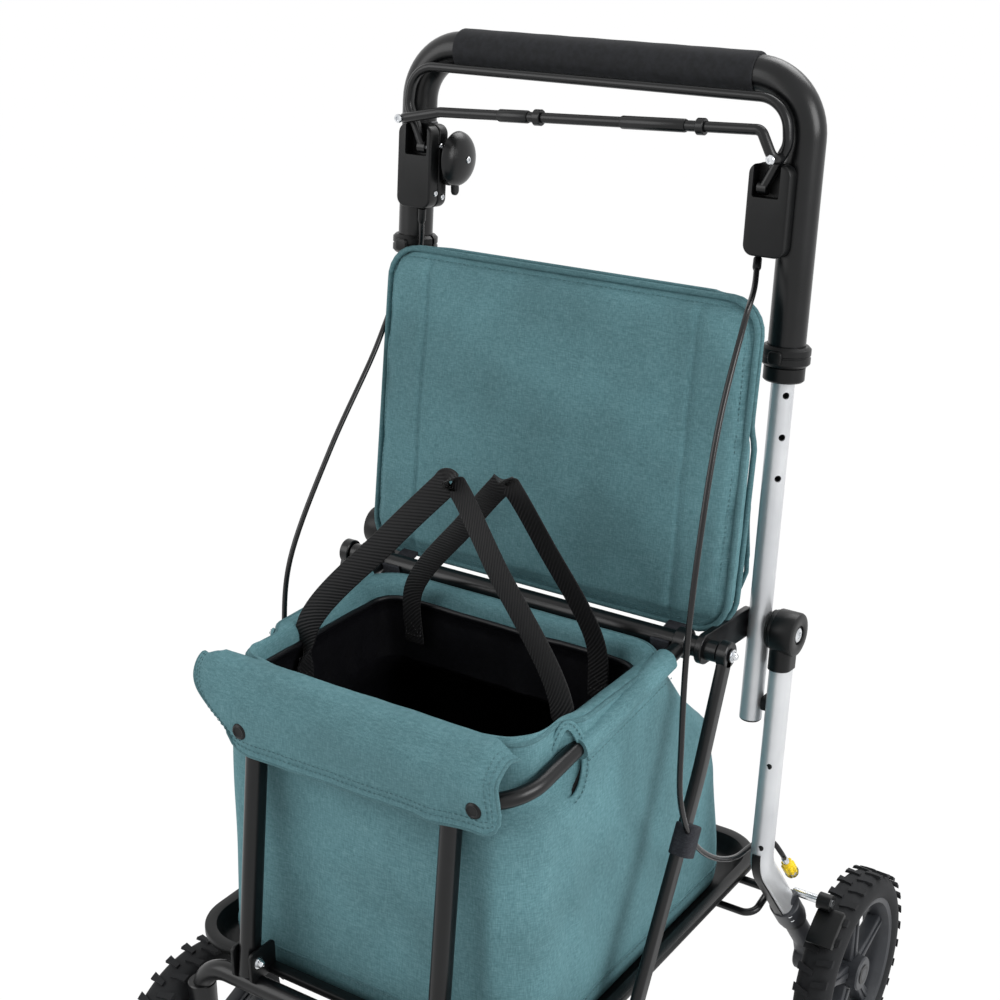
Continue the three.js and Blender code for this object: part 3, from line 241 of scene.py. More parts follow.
# Mesh helpers. Points arrive in drawing millimetres unless a helper says otherwise.
def bent(corners, radii, steps=10):
    corners = [Vector(corner) for corner in corners]
    sizes = radii if isinstance(radii, (list, tuple)) else [radii] * (len(corners) - 2)
    path = [corners[0]]
    for corner, before, after, radius in zip(corners[1:-1], corners[:-2], corners[2:], sizes):
        into, out = (corner - before).normalized(), (after - corner).normalized()
        half = into.angle(out) / 2
        if half < 1e-4:
            path.append(corner)
            continue
        axis = into.cross(out).normalized()
        centre = corner + (out - into).normalized() * radius / math.cos(half)
        start = corner - into * radius * math.tan(half) - centre
        path += [centre + Matrix.Rotation(2 * half * step / steps, 3, axis) @ start
                 for step in range(steps + 1)]
    return path + [corners[-1]]


# A smooth line through the given points, the same curve that a rubber spline rule would take.
def spline(points, steps):
    points = [Vector(spot) for spot in points]
    ends = [2 * points[0] - points[1]] + points + [2 * points[-1] - points[-2]]
    path = []
    for index in range(1, len(ends) - 2):
        p0, p1, p2, p3 = ends[index - 1:index + 3]
        knots = [0.0]
        for first, second in ((p0, p1), (p1, p2), (p2, p3)):
            knots.append(knots[-1] + math.sqrt(max((second - first).length, 1e-6)))
        for step in range(steps):
            t = knots[1] + (knots[2] - knots[1]) * step / steps
            a1 = p0.lerp(p1, (t - knots[0]) / (knots[1] - knots[0]))
            a2 = p1.lerp(p2, (t - knots[1]) / (knots[2] - knots[1]))
            a3 = p2.lerp(p3, (t - knots[2]) / (knots[3] - knots[2]))
            b1 = a1.lerp(a2, (t - knots[0]) / (knots[2] - knots[0]))
            b2 = a2.lerp(a3, (t - knots[1]) / (knots[3] - knots[1]))
            path.append(b1.lerp(b2, (t - knots[1]) / (knots[2] - knots[1])))
    return path + [points[-1]]


def circle(radius, count=28):
    turns = [2 * math.pi * index / count for index in range(count)]
    return [(radius * math.cos(turn), radius * math.sin(turn)) for turn in turns]


def roundRect(wide, high, radius, steps=8):
    radius = min(radius, wide / 2, high / 2)
    points = []
    for quarter, (across, up) in enumerate(((1, 1), (-1, 1), (-1, -1), (1, -1))):
        for step in range(steps + 1):
            angle = math.pi / 2 * (quarter + step / steps)
            spot = (across * (wide / 2 - radius) + radius * math.cos(angle),
                    up * (high / 2 - radius) + radius * math.sin(angle))
            if not points or math.dist(points[-1], spot) > 1e-3:
                points.append(spot)
    if math.dist(points[0], points[-1]) < 1e-3:
        points.pop()
    return points


def addObject(name, data):
    thing = bpy.data.objects.new(name, data)
    bpy.context.scene.collection.objects.link(thing)
    return thing


def meshFrom(name, points, faces):
    mesh = bpy.data.meshes.new(name)
    mesh.from_pydata([at(*spot) for spot in points], [], faces)
    mesh.update()
    return addObject(name, mesh)


# Rings of equal size become a skin; ends close with a cap, or join into a loop.
def skinFaces(ringCount, size, loop=False, caps=True):
    faces = []
    for ring in range(ringCount if loop else ringCount - 1):
        low, high = ring * size, (ring + 1) % ringCount * size
        for index in range(size):
            beside = (index + 1) % size
            faces.append((low + index, low + beside, high + beside, high + index))
    if caps and not loop:
        faces.append(tuple(reversed(range(size))))
        faces.append(tuple((ringCount - 1) * size + i for i in range(size)))
    return faces


# The same skin, open at its first ring and closed at its last.
def bottomed(ringCount, size):
    last = tuple((ringCount - 1) * size + index for index in range(size))
    return skinFaces(ringCount, size, caps=False) + [last]


def turnOutward(piece):
    work = bmesh.new()
    work.from_mesh(piece.data)
    bmesh.ops.recalc_face_normals(work, faces=work.faces)
    work.to_mesh(piece.data)
    work.free()
    return piece


# A section carried along a path without twisting. Sideways is where its first axis points at the start.
def sweep(name, path, section, sideways=(1, 0, 0), loop=False, caps=True):
    path = [Vector(spot) for spot in path]
    count = len(path)
    across = Vector(sideways)
    rings = []
    for index, spot in enumerate(path):
        before = path[index - 1] if loop or index else path[0]
        after = path[(index + 1) % count] if loop or index < count - 1 else path[-1]
        tangent = (after - before).normalized()
        into, out = (spot - before), (after - spot)
        turnHalf = into.angle(out) / 2 if into.length > 1e-6 and out.length > 1e-6 else 0
        across = (across - tangent * across.dot(tangent)).normalized()
        up = tangent.cross(across)
        stretch = 1 / max(math.cos(turnHalf), 0.5)
        bend = (out.normalized() - into.normalized()) if turnHalf > 1e-4 else Vector()
        bend = bend.normalized() if bend.length > 1e-6 else Vector()
        for u, v in section:
            offset = across * u + up * v
            rings.append(spot + offset + bend * offset.dot(bend) * (stretch - 1))
    piece = meshFrom(name, rings, skinFaces(count, len(section), loop=loop, caps=caps))
    return turnOutward(piece)


# A profile of (radius, place) pairs turned about an axis through centre.
def lathe(name, profile, centre, axis=(1, 0, 0), count=48):
    axis = Vector(axis).normalized()
    across = axis.orthogonal().normalized()
    up = axis.cross(across)
    centre = Vector(centre)
    points, faces = [], []
    for radius, place in profile:
        for index in range(count):
            angle = 2 * math.pi * index / count
            out = across * math.cos(angle) + up * math.sin(angle)
            points.append(centre + axis * place + out * max(radius, 0.01))
    closed = profile[0] == profile[-1]
    rings = len(profile) - 1 if closed else len(profile)
    points = points[:rings * count]
    faces = skinFaces(rings, count, loop=closed, caps=not closed)
    return turnOutward(meshFrom(name, points, faces))


# The same profile, mirrored to the part's other side.
def flip(profile, sign):
    return [(radius, place * sign) for radius, place in profile]


def rod(name, radius, start, end, centre, axis=(1, 0, 0), count=20):
    return lathe(name, [(0, start), (radius, start), (radius, end), (0, end)], centre, axis, count)


def collar(name, inner, outer, start, end, centre, count):
    profile = [(inner, start), (outer, start), (outer, end), (inner, end), (inner, start)]
    return lathe(name, profile, centre, count=count)


# A flat outline given thickness. Across and up are its own axes, and it grows along their cross product.
def prism(name, outline, thick, centre, across=(1, 0, 0), up=(0, 0, 1), edge=0.6, cuts=2):
    across, up, centre = Vector(across).normalized(), Vector(up).normalized(), Vector(centre)
    normal = across.cross(up)
    points = [centre + across * u + up * v + normal * side * thick / 2
              for side in (-1, 1) for u, v in outline]
    piece = turnOutward(meshFrom(name, points, skinFaces(2, len(outline))))
    if edge:
        soften(piece, edge, cuts)
    return piece


def soften(piece, edge, cuts=2, angle=30):
    bevel = piece.modifiers.new("edge", "BEVEL")
    bevel.width = edge / 1000
    bevel.segments = cuts
    bevel.limit_method = "ANGLE"
    bevel.angle_limit = math.radians(angle)
    return piece


def smooth(piece, angle=38):
    piece.data.shade_smooth()
    piece.data.set_sharp_from_angle(angle=math.radians(angle))
    return piece


# Every piece gets its finish, its soft or sharp shading, its body and the frame nodes that it stands for.
def place(piece, material, body, stands=(), angle=38):
    smooth(piece, angle)
    piece.data.materials.clear()
    piece.data.materials.append(material)
    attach(piece, body)
    if stands:
        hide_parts(*stands)
    return piece


def bakedMesh(piece):
    graph = bpy.context.evaluated_depsgraph_get()
    return bpy.data.meshes.new_from_object(piece.evaluated_get(graph))


def applyModifiers(piece):
    baked, old = bakedMesh(piece), piece.data
    piece.modifiers.clear()
    piece.data = baked
    bpy.data.meshes.remove(old)
    return piece


# Joins several loose pieces into one object.
def weld(name, pieces):
    work = bmesh.new()
    for piece in pieces:
        baked = bakedMesh(piece)
        work.from_mesh(baked)
        bpy.data.meshes.remove(baked)
        bpy.data.objects.remove(piece)
    mesh = bpy.data.meshes.new(name)
    work.to_mesh(mesh)
    work.free()
    return addObject(name, mesh)


# Cuts one piece with another and throws the cutter away.
def carve(piece, *cutters):
    for cutter in cutters:
        hollow = piece.modifiers.new("hollow", "BOOLEAN")
        hollow.operation = "DIFFERENCE"
        hollow.solver = "EXACT"
        hollow.object = cutter
        applyModifiers(piece)
        bpy.data.objects.remove(cutter)
    return piece


def lookAt(spot, target):
    return (Vector(target) - Vector(spot)).to_track_quat("-Z", "Y")


# Stage, lamps and camera
def buildStage():
    bpy.context.scene.view_settings.view_transform = "Standard"
    stage = {"half": 60.0, "colour": "f2f2f2", "seen": 0.97, "glow": 1.02, "sky": 0.42}
    bpy.ops.mesh.primitive_grid_add(x_subdivisions=8, y_subdivisions=8, size=2 * stage["half"])
    floor = bpy.context.active_object
    floor.name = "floor"
    material = bpy.data.materials.new("studio_floor")
    material.use_nodes = True
    tree = material.node_tree
    principled = tree.nodes["Principled BSDF"]
    principled.inputs["Base Color"].default_value = hexColour(stage["colour"])
    principled.inputs["Roughness"].default_value = 0.9
    path = addNode(tree, "ShaderNodeLightPath").outputs
    seen = mathOf(tree, path["Is Camera Ray"], path["Is Glossy Ray"], "MAXIMUM")
    white = addNode(tree, "ShaderNodeEmission", {"Color": hexColour("ffffff"), "Strength": stage["glow"]})
    blend = addNode(tree, "ShaderNodeMixShader", {
        0: mathOf(tree, seen, stage["seen"], "MULTIPLY"), 1: principled.outputs[0], 2: white.outputs[0]})
    tree.links.new(blend.outputs[0], tree.nodes["Material Output"].inputs["Surface"])
    floor.data.materials.append(material)

    world = bpy.data.worlds.new("studio")
    bpy.context.scene.world = world
    world.use_nodes = True
    tree = world.node_tree
    path = addNode(tree, "ShaderNodeLightPath").outputs
    seen = mathOf(tree, path["Is Camera Ray"], path["Is Transmission Ray"], "MAXIMUM")
    level = rangeOf(tree, mathOf(tree, seen, path["Is Glossy Ray"], "MAXIMUM"), stage["sky"], 1.0)
    tree.links.new(level, tree.nodes["Background"].inputs["Strength"])
    tree.nodes["Background"].inputs["Color"].default_value = hexColour("ffffff")

    # Each lamp's place, size and power
    lamps = {"key": ((2.8, -0.1, 1.9), 1.6, 60), "fill": ((-1.6, -1.9, 1.7), 1.8, 27),
             "rim": ((0.2, 1.7, 2.7), 1.6, 40)}
    for name, (spot, size, power) in lamps.items():
        data = bpy.data.lights.new(name, "AREA")
        data.size = size
        data.energy = power
        lamp = addObject(name, data)
        lamp.location = spot
        lamp.rotation_euler = lookAt(spot, (0, 0, 0.55)).to_euler()

    view = {"spot": (0.7836, -1.1704, 1.1619), "target": (-0.010, 0.0115, 0.602), "roll": -0.18,
            "lens": 63.5}
    data = bpy.data.cameras.new("camera")
    data.lens = view["lens"]
    data.sensor_width = 36
    data.sensor_fit = "HORIZONTAL"
    data.clip_start = 0.01
    camera = addObject("camera", data)
    camera.location = view["spot"]
    aim = lookAt(view["spot"], view["target"]).to_matrix().to_4x4()
    camera.rotation_euler = (aim @ Matrix.Rotation(math.radians(view["roll"]), 4, "Z")).to_euler()
    bpy.context.scene.camera = camera


buildStage()
print("stage, lamps and camera ready")


# Small fasteners
def screwHead(name, spot, axis, body, radius, high, socket=1.9):
    profile = [(0, -1), (radius * 0.9, -1), (radius, 0), (radius, high * 0.55), (radius * 0.82, high),
               (socket, high), (socket * 0.95, high * 0.35), (0, high * 0.35)]
    return place(lathe(name, profile, spot, axis, 20), zincSteel, body)


def hexNut(name, spot, axis, body, across, high, dome=True):
    axis = Vector(axis).normalized()
    side = axis.orthogonal().normalized()
    pieces = [prism(name + "_flats", circle(across / math.sqrt(3), 6), high, Vector(spot) + axis * high / 2,
                    side, axis.cross(side), edge=0.5)]
    if dome:
        cap = [(0, high - 0.5), (across * 0.44, high - 0.5), (across * 0.4, high + across * 0.22),
               (across * 0.25, high + across * 0.38), (0, high + across * 0.44)]
        pieces.append(lathe(name + "_cap", cap, spot, axis, 20))
    pieces.append(rod(name + "_washer", across * 0.78, -0.6, 0.5, spot, axis, 24))
    return place(weld(name, pieces), zincSteel, body)


# Handle: one bent black tube with its foam sleeve, sliding over the silver tubes
slider = {"radius": 16, "bore": 10.4, "low": 716, "barZ": 958.8, "bend": 48, "grip": 18.5, "gripHalf": 147,
          "bush": 17.6, "bushLow": 713, "bushHigh": 726}
clip = {"radius": 21, "tall": 17, "right": 735, "left": 780, "edge": 2.4, "slot": 3}


def buildHandle():
    low, high = along(slider["low"]), along(slider["barZ"])
    path = [Vector(onMast(x, 0, up)) for x, up in (
        (mast["x"], low), (mast["x"], high), (-mast["x"], high), (-mast["x"], low))]
    tube = sweep("handle_bow", bent(path, slider["bend"], 16), circle(slider["radius"], 40))
    place(tube, blackCoat, "handle_top", ["handle_tube"])

    half, radius = slider["gripHalf"], slider["grip"]
    # A soft end, then a barely uneven foam skin between the two ends
    end = [(slider["radius"] - 1, half), (radius - 1.6, half), (radius - 0.4, half - 0.5),
           (radius, half - 1.8)]
    profile = flip(end, -1)
    profile += [(radius + 0.12 * math.sin(i * 1.9), -half + 6 + i * (2 * half - 12) / 24) for i in range(25)]
    grip = lathe("foam_sleeve", profile + end[::-1], onMast(0, 0, high))
    place(grip, foamSleeve, "handle_top", ["foam_grip"])

    low, high = along(slider["bushLow"]), along(slider["bushHigh"])
    wall, edge, outer = slider["radius"] + 0.2, clip["edge"], clip["radius"]
    for side, sign in sides.items():
        x = sign * mast["x"]
        bush = [(slider["bore"], low), (slider["bush"] - 1.5, low), (slider["bush"], low + 1.5),
                (slider["bush"], high - 0.8), (slider["bush"] - 0.8, high), (slider["radius"], high)]
        place(lathe("end_bush_" + side, bush, onMast(x, 0, 0), mastAxis, 40), blackNylon, "handle_top",
              ["tube_bush_" + side])

        middle, tall = along(clip[side]), clip["tall"] / 2
        ringHalf = [(outer - 0.8, 0.4), (outer, 1.2), (outer, tall - edge), (outer - edge, tall),
                    (wall, tall)]
        ringProfile = [(r, middle + rise) for r, rise in flip(ringHalf, -1)[::-1] + ringHalf]
        band = lathe("clip_band_" + side, ringProfile + ringProfile[:1], onMast(x, 0, 0), mastAxis, 44)
        gap = prism("gap", roundRect(2 * outer, clip["slot"], 0.2), 3 * tall,
                    onMast(x - sign * outer, 0, middle), up=(0, 1, 0), edge=0)
        carve(band, gap)
        catch = prism("catch_" + side, roundRect(12, 11, 3), 6, onMast(x, -outer + 0.5, middle), edge=1.2,
                      up=mastAxis, cuts=3)
        place(weld("clip_ring_band_" + side, [band, catch]), blackNylon, "handle_top", ["clip_ring_" + side])
        screwHead("clip_screw_" + side, onMast(x - sign * 8, -outer + 4.5, middle), (0, -1, 0), "handle_top",
                  2.2, 1)


# Brake housings: two moulded halves that clamp the tube, screwed together, with a slot for the bar's end
housing = {"x": 176.5, "offset": -16, "wide": 37, "deep": 28, "low": 817, "high": 892, "shoulder": 9,
           "seam": 0.5}
brakeBar = {"offset": -24, "wide": 8, "thick": 10, "cornerX": 184, "topZ": 943, "endX": 170, "sideX": 188,
            "sideZ": 908, "bends": [18, 26], "pivotZ": 872}
link = {"radius": 4.5, "offset": -42, "low": 906, "high": 919, "left": -140, "right": 172,
        "collars": [-37, 119], "sleeves": [(-62, 30), (75, 60)], "endLeft": -183, "endRight": 184,
        "endLow": 897, "bend": 7}


def buildHousings():
    low, high = along(housing["low"]), along(housing["high"])
    middle, tall = (low + high) / 2, high - low
    # Each half: its share of the depth, and where its middle lies
    moulded = {"front": (0.52, -0.24), "rear": (0.48, 0.26)}
    for side, sign in sides.items():
        halves = []
        for name, (share, shift) in moulded.items():
            centre = onMast(sign * housing["x"], housing["offset"] + housing["deep"] * shift, middle)
            shape = roundRect(housing["wide"], tall, housing["shoulder"])
            thick = housing["deep"] * share - housing["seam"]
            halves.append(applyModifiers(prism(name, shape, thick, centre, up=mastAxis, edge=2.0, cuts=4)))
        shell = weld("housing_shell_" + side, halves)
        mastFoot = onMast(sign * mast["x"], 0, 0)
        bore = rod("bore", slider["radius"] + 0.2, low - 5, high + 5, mastFoot, mastAxis, 40)
        slotRoom = prism("room", roundRect(24, 60, 2), 26, onMast(
            sign * (brakeBar["endX"] + 4.5), brakeBar["offset"] - 6.5, along(brakeBar["pivotZ"]) + 22.5),
            up=mastAxis, edge=0)
        carve(shell, bore, slotRoom)
        place(shell, blackNylon, "handle_top", ["brake_housing_" + side])
        inner = sign * (housing["x"] - housing["wide"] / 2)
        for out, up in ((-20, 14), (-9, 10), (-14, 56)):
            screwHead(f"housing_screw_{side}_{up}_{-out}", onMast(inner, out, low + up), (-sign, 0, 0),
                      "handle_top", 2.6, 1.2, 1.2)
        spot = onMast(sign * 182, 1, high - 3)
        insert = prism("slot_insert_" + side, roundRect(12, 8, 2), 11, spot, up=mastAxis, edge=1)
        place(insert, greyNylon, "handle_top")


def buildBrakeBar():
    out, pivot = brakeBar["offset"], along(brakeBar["pivotZ"])
    spots = [(brakeBar["endX"], pivot), (brakeBar["sideX"], along(brakeBar["sideZ"])),
             (brakeBar["cornerX"], along(brakeBar["topZ"]))]
    spots += [(-x, up) for x, up in reversed(spots)]
    path = bent([onMast(x, out, up) for x, up in spots], brakeBar["bends"] + brakeBar["bends"][::-1], 12)
    pieces = [sweep("loop", path, roundRect(brakeBar["wide"], brakeBar["thick"], 3.9, 6))]
    for sign in (1, -1):
        pieces.append(rod("boss", 5.5, -4, 4, onMast(sign * brakeBar["endX"], out, pivot), count=24))
    place(weld("brake_loop", pieces), blackCoat, "brake_bar", ["brake_bar"])

    seat = out - brakeBar["wide"] / 2 - 0.3
    corners = [onMast(x, y, along(z)) for x, y, z in (
        (link["endLeft"], seat, link["endLow"]), (link["endLeft"], link["offset"], link["endLow"]),
        (link["left"], link["offset"], link["low"]), (link["right"], link["offset"], link["high"]),
        (link["endRight"], link["offset"], link["endLow"]), (link["endRight"], seat, link["endLow"]))]
    path = bent(corners, link["bend"], 8)
    rodPieces = [sweep("rod", path, circle(link["radius"], 18), sideways=(0, 0, 1))]
    start, end = Vector(corners[2]), Vector(corners[3])
    # What is threaded on the rod: its place, half its length, radius, chamfer and facets
    threaded = [(x, 3.6, 7, 0.6, 0.6, 28) for x in link["collars"]]
    threaded += [(x, long / 2, 5.6, 0.4, 1, 24) for x, long in link["sleeves"]]
    for x, half, radius, inset, chamfer, facets in threaded:
        spot = start.lerp(end, (x - link["left"]) / (link["right"] - link["left"]))
        edge = [(0, half), (radius - inset, half), (radius, half - chamfer)]
        rodPieces.append(lathe("collar", flip(edge, -1) + edge[::-1], spot, end - start, facets))
    place(weld("brake_link", rodPieces), blackCoat, "brake_bar", ["link_rod"])
    for side, sign in sides.items():
        x = link["endRight"] if sign > 0 else link["endLeft"]
        screwHead("link_bolt_" + side, onMast(x, link["offset"] - 4, along(link["endLow"])), (0, -1, 0),
                  "brake_bar", 4, 2)
        screwHead("bar_bolt_" + side, onMast(sign * (brakeBar["endX"] - 4.2), out, pivot), (-sign, 0, 0),
                  "brake_bar", 3.2, 1.6)


bell = {"z": 862, "radius": 25, "deep": 13, "plate": 3.4, "lever": 4, "leverLong": 34}


def buildBell():
    up = along(bell["z"])
    face = -(housing["x"] - housing["wide"] / 2) + 0.3
    centre = onMast(0, 0, up)
    rim = face + bell["plate"] + 0.3 + bell["lever"] + 0.3
    shares = [(math.cos(a), math.sin(a)) for a in (math.pi / 2 * i / 12 for i in range(13))]
    outer = [(bell["radius"] * across, rim + bell["deep"] * rise) for across, rise in shares]
    inner = [((bell["radius"] - 1.6) * across, rim + (bell["deep"] - 1.6) * rise) for across, rise in shares]
    lip = [(bell["radius"] - 0.6, rim), (bell["radius"], rim + 0.6)]
    place(lathe("bell_shell", inner[::-1] + lip + outer[1:], centre, count=56), blackCoat, "handle_top",
          ["bell_dome"])
    screwHead("bell_cap", Vector(centre) + Vector((rim + bell["deep"], 0, 0)), (1, 0, 0), "handle_top",
              3, 1.1, 1.2)
    spot = onMast(face + bell["plate"] / 2, 0, up - 6)
    plate = prism("plate", roundRect(26, 38, 12.9), bell["plate"], spot, across=(0, 1, 0), up=mastAxis,
                  edge=0.8)
    post = rod("post", 4, face, rim + bell["deep"] - 2, centre)
    place(weld("bell_plate", [plate, post]), blackNylon, "handle_top", ["bell_base"])
    for index, (y, lift) in enumerate(((-6, -17), (5, -22))):
        screwHead(f"bell_screw_{index}", onMast(face + bell["plate"], y, up + lift), (1, 0, 0), "handle_top",
                  2, 1, 0.9)
    lower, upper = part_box("bell_lever")
    leverAt = face + bell["plate"] + 0.3 + bell["lever"] / 2
    lift = Vector(onMast(leverAt, 0, up))
    reach = bell["leverLong"] - 5
    disc = collar("disc", 4.4, 11, -2, 2, lift, 32)
    # The thumb piece points from its pivot to the middle of the frame's own lever.
    middle = (lower + upper) * 500
    heading = Vector((0, middle.y + midShift - lift.y, middle.z - lift.z)).normalized()
    thumb = prism("thumb", roundRect(reach, 9, 4.4), bell["lever"], lift + heading * (reach / 2 + 5),
                  across=heading, up=Vector((1, 0, 0)).cross(heading), edge=1.2, cuts=3)
    place(weld("bell_thumb", [disc, thumb]), blackNylon, "bell_lever", ["bell_lever"])


# Rear frame: silver legs, pivot knobs, the black crossbar and the grey tubes down to the wheels
leg = {"x": 217.5, "wide": 18, "deep": 24.5, "top": 485, "kneeZ": 270, "endY": 157, "endZ": 196, "bend": 34}
axleTube = {"radius": 11, "sleeve": 14.5, "sleeveLong": 30, "ring": 13.4, "ringLong": 7, "bend": 30,
            "kneeY": 212, "kneeZ": 124}
knob = {"radius": 19.5, "inner": 207.5, "outer": 231.5, "neckWide": 20.4, "neckDeep": 29, "neckLong": 33}
crossbar = {"y": 42, "z": 500, "radius": 9, "half": 194.4, "pin": 206.7}
wheelAxle = {"z": 100, "reach": 17.3}
rearWheel = {"x": 261, "y": 220}
frontWheel = {"x": 190, "y": -211}
upperTube = {"radius": 10, "low": 407, "high": 768, "hole": 3, "holes": [702.5, 666.4, 630.4]}


def mirror(spot, sign):
    return Vector((spot[0] * sign, spot[1], spot[2]))


legKnee = Vector((leg["x"], mastY(leg["kneeZ"]), leg["kneeZ"]))
legEnd = Vector((leg["x"], leg["endY"], leg["endZ"]))
legSlope = (legEnd - legKnee).normalized()


def buildRearFrame():
    bumper = {"z": 425, "deep": 15, "tall": 13, "round": 4, "thick": 9.2}
    sideRod = {"radius": 4, "inner": 181.5, "y": 135, "z": 221}
    top = Vector((leg["x"], mastY(leg["top"]), leg["top"]))
    legPath = bent([top, legKnee, legEnd], leg["bend"], 14)
    start = legEnd + legSlope * 0.3
    axle = Vector((leg["x"], rearWheel["y"], wheelAxle["z"]))
    tubePath = bent([start, (leg["x"], axleTube["kneeY"], axleTube["kneeZ"]), axle], axleTube["bend"], 12)
    for side, sign in sides.items():
        shaft = sweep("leg_shaft_" + side, [mirror(p, sign) for p in legPath],
                      roundRect(leg["wide"], leg["deep"], 8.9, 10))
        place(shaft, silverLacquer, "rear_frame", ["lower_leg_" + side])
        pad = prism("bumper_" + side, roundRect(bumper["deep"], bumper["tall"], bumper["round"]),
                    bumper["thick"], (sign * (leg["x"] - leg["wide"] / 2), mastY(bumper["z"]), bumper["z"]),
                    across=(0, 1, 0), edge=1.2, cuts=3)
        place(pad, tyreRubber, "rear_frame")
        stub = rod("side_rod_" + side, sideRod["radius"], sideRod["inner"] * sign, leg["x"] * sign,
                   (0, sideRod["y"], sideRod["z"]), count=24)
        place(stub, blackCoat, "rear_frame")
        # Black wear strip down the front of the leg's bent foot, and two locating dimples
        strip = []
        for before, spot, after in zip(legPath, legPath[1:], legPath[2:] + [legPath[-1] + legSlope]):
            front = Vector((1, 0, 0)).cross(after - before).normalized()
            front = front if front.y < 0 else -front
            strip.append(mirror(spot + front * (leg["deep"] / 2 + 0.3), sign))
        trim = sweep("leg_strip_" + side, strip, roundRect(8.4, 1.6, 0.7, 3))
        place(trim, blackNylon, "rear_frame")
        for index, up in enumerate((372, 292)):
            spot = (sign * (leg["x"] + leg["wide"] / 2 * 0.3), mastY(up) - leg["deep"] / 2 + 0.5, up)
            profile = [(0, 0.4), (2.2, 0.4), (2.8, 0), (2.8, -1), (0, -1)]
            dimple = lathe(f"leg_dimple_{side}_{index}", profile, spot, (0, -1, 0), 20)
            place(dimple, blackNylon, "rear_frame")

        sleeve, long = axleTube["sleeve"], axleTube["sleeveLong"]
        centre, down = mirror(start, sign), mirror(legSlope, sign)
        socket = lathe("tube_socket_" + side, [(0, 0), (sleeve - 1, 0), (sleeve, 1), (sleeve, long - 1),
                                               (sleeve - 1, long), (0, long)], centre, down, 40)
        spot = mirror((222.6, 160, 202), sign)
        lug = prism("lug", roundRect(16, 11, 5), 9, spot, across=(0, 1, 0), edge=1)
        place(weld("leg_socket_" + side, [socket, lug]), greyNylon, "rear_frame")
        ringEnd = long + axleTube["ringLong"]
        band = rod("socket_ring_" + side, axleTube["ring"], long, ringEnd, centre, down, 40)
        place(band, blackNylon, "rear_frame")
        for index, up in enumerate((10, 20)):
            spot = mirror(start + legSlope * up + Vector((sleeve * 0.6, -sleeve * 0.78, 0)), sign)
            screwHead(f"socket_rivet_{side}_{index}", spot, (sign * 0.6, -0.8, 0.1), "rear_frame", 3, 1.3, 1)
        tube = sweep("axle", [mirror(p, sign) for p in tubePath], circle(axleTube["radius"], 32))
        face = rearWheel["x"] - wheelAxle["reach"]
        profile = [(0, 209.5), (14.6, 209.5), (16, 211), (16, face - 1), (15, face), (6, face), (6, 279),
                   (0, 279)]
        boss = lathe("boss", flip(profile, sign), (0, rearWheel["y"], wheelAxle["z"]), count=40)
        place(weld("axle_leg_" + side, [tube, boss]), greyNylon, "rear_frame", ["axle_tube_" + side])

        pivotX = (0, mast["pivotY"], mast["pivotZ"])
        r, inner, outer = knob["radius"], knob["inner"], knob["outer"]
        outline = [
            (0, inner), (r - 2.4, inner), (r - 1.8, inner + 0.6), (r - 1.8, inner + 2.8),
            (r - 0.4, inner + 3.6), (r, inner + 4.4), (r, outer - 2.6), (r - 0.8, outer - 1),
            (r - 2.6, outer - 0.2), (9.4, outer), (8.6, outer - 0.5), (8.4, outer - 1.8), (0, outer - 1.8)]
        barrel = lathe("barrel", flip(outline, sign), pivotX, count=56)
        neckZ = mast["pivotZ"] - knob["neckLong"]
        neckLow = Vector((sign * leg["x"], mastY(neckZ), neckZ))
        neckTop = (sign * leg["x"], mast["pivotY"], mast["pivotZ"])
        neck = sweep("neck", [neckLow, neckLow + Vector((0, 0.1, 1.2)), neckTop],
                     roundRect(knob["neckWide"], knob["neckDeep"], 10.1, 10))
        pin = rod("pin", 4, 176 * sign, inner * sign, pivotX)
        place(weld("pivot_knob_" + side, [barrel, neck, pin]), blackNylon, "rear_frame",
              ["pivot_housing_" + side])
        spot = (sign * (outer - 1.8), mast["pivotY"], mast["pivotZ"])
        screwHead("pivot_screw_" + side, spot, (sign, 0, 0), "rear_frame", 6.4, 1.5, 3)

        reach = Vector((0, crossbar["y"] - mast["pivotY"], crossbar["z"] - mast["pivotZ"]))
        middle = Vector((sign * 179.35, mast["pivotY"], mast["pivotZ"])) + reach / 2
        # A plate as wide as its eyes at both ends, drawn in between them
        shape = [(u, v * (0.66 + 0.34 * min(1, (abs(u) / (reach.length / 2)) ** 3)))
                 for u, v in roundRect(reach.length + 27, 27, 13.4, 10)]
        up = Vector((1, 0, 0)).cross(reach)
        arm = prism("arm_" + side, shape, 6.5, middle, across=reach, up=up, edge=1, cuts=3)
        place(arm, blackCoat, "rear_frame", ["crossbar_bracket_" + side])
        buildAdjuster(side, sign)

    half, pin = crossbar["half"], crossbar["pin"]
    profile = [(0, -pin), (5.4, -pin), (6, 0.7 - pin), (6, 1.7 - pin), (4, 1.7 - pin), (4, -half),
               (8.2, -half), (9, 0.8 - half)]
    bar = lathe("crossbar", profile + flip(profile, -1)[::-1], (0, crossbar["y"], crossbar["z"]), count=40)
    place(bar, blackCoat, "rear_frame", ["rear_crossbar"])
    stayX = leg["x"] - leg["wide"] / 2 - 3.8
    stayEnds = [(-stayX, 146, 207), (-stayX, 116, 200), (stayX, 116, 200), (stayX, 146, 207)]
    stay = sweep("stay_wire", bent(stayEnds, 12, 10), circle(3.5, 20), sideways=(0, 0, 1))
    place(stay, blackCoat, "rear_frame", ["rear_stay"])


# Cable adjuster: a fluted yellow thumb wheel on a threaded stem with its lock nut
adjuster = {"radius": 6.5, "flute": 1.2, "flutes": 8, "long": 19, "barrel": 0.74, "stem": 3, "stemLong": 9,
            "pitch": 0.6, "thread": 0.28}
adjusterBase = Vector((leg["x"], 168, 226))


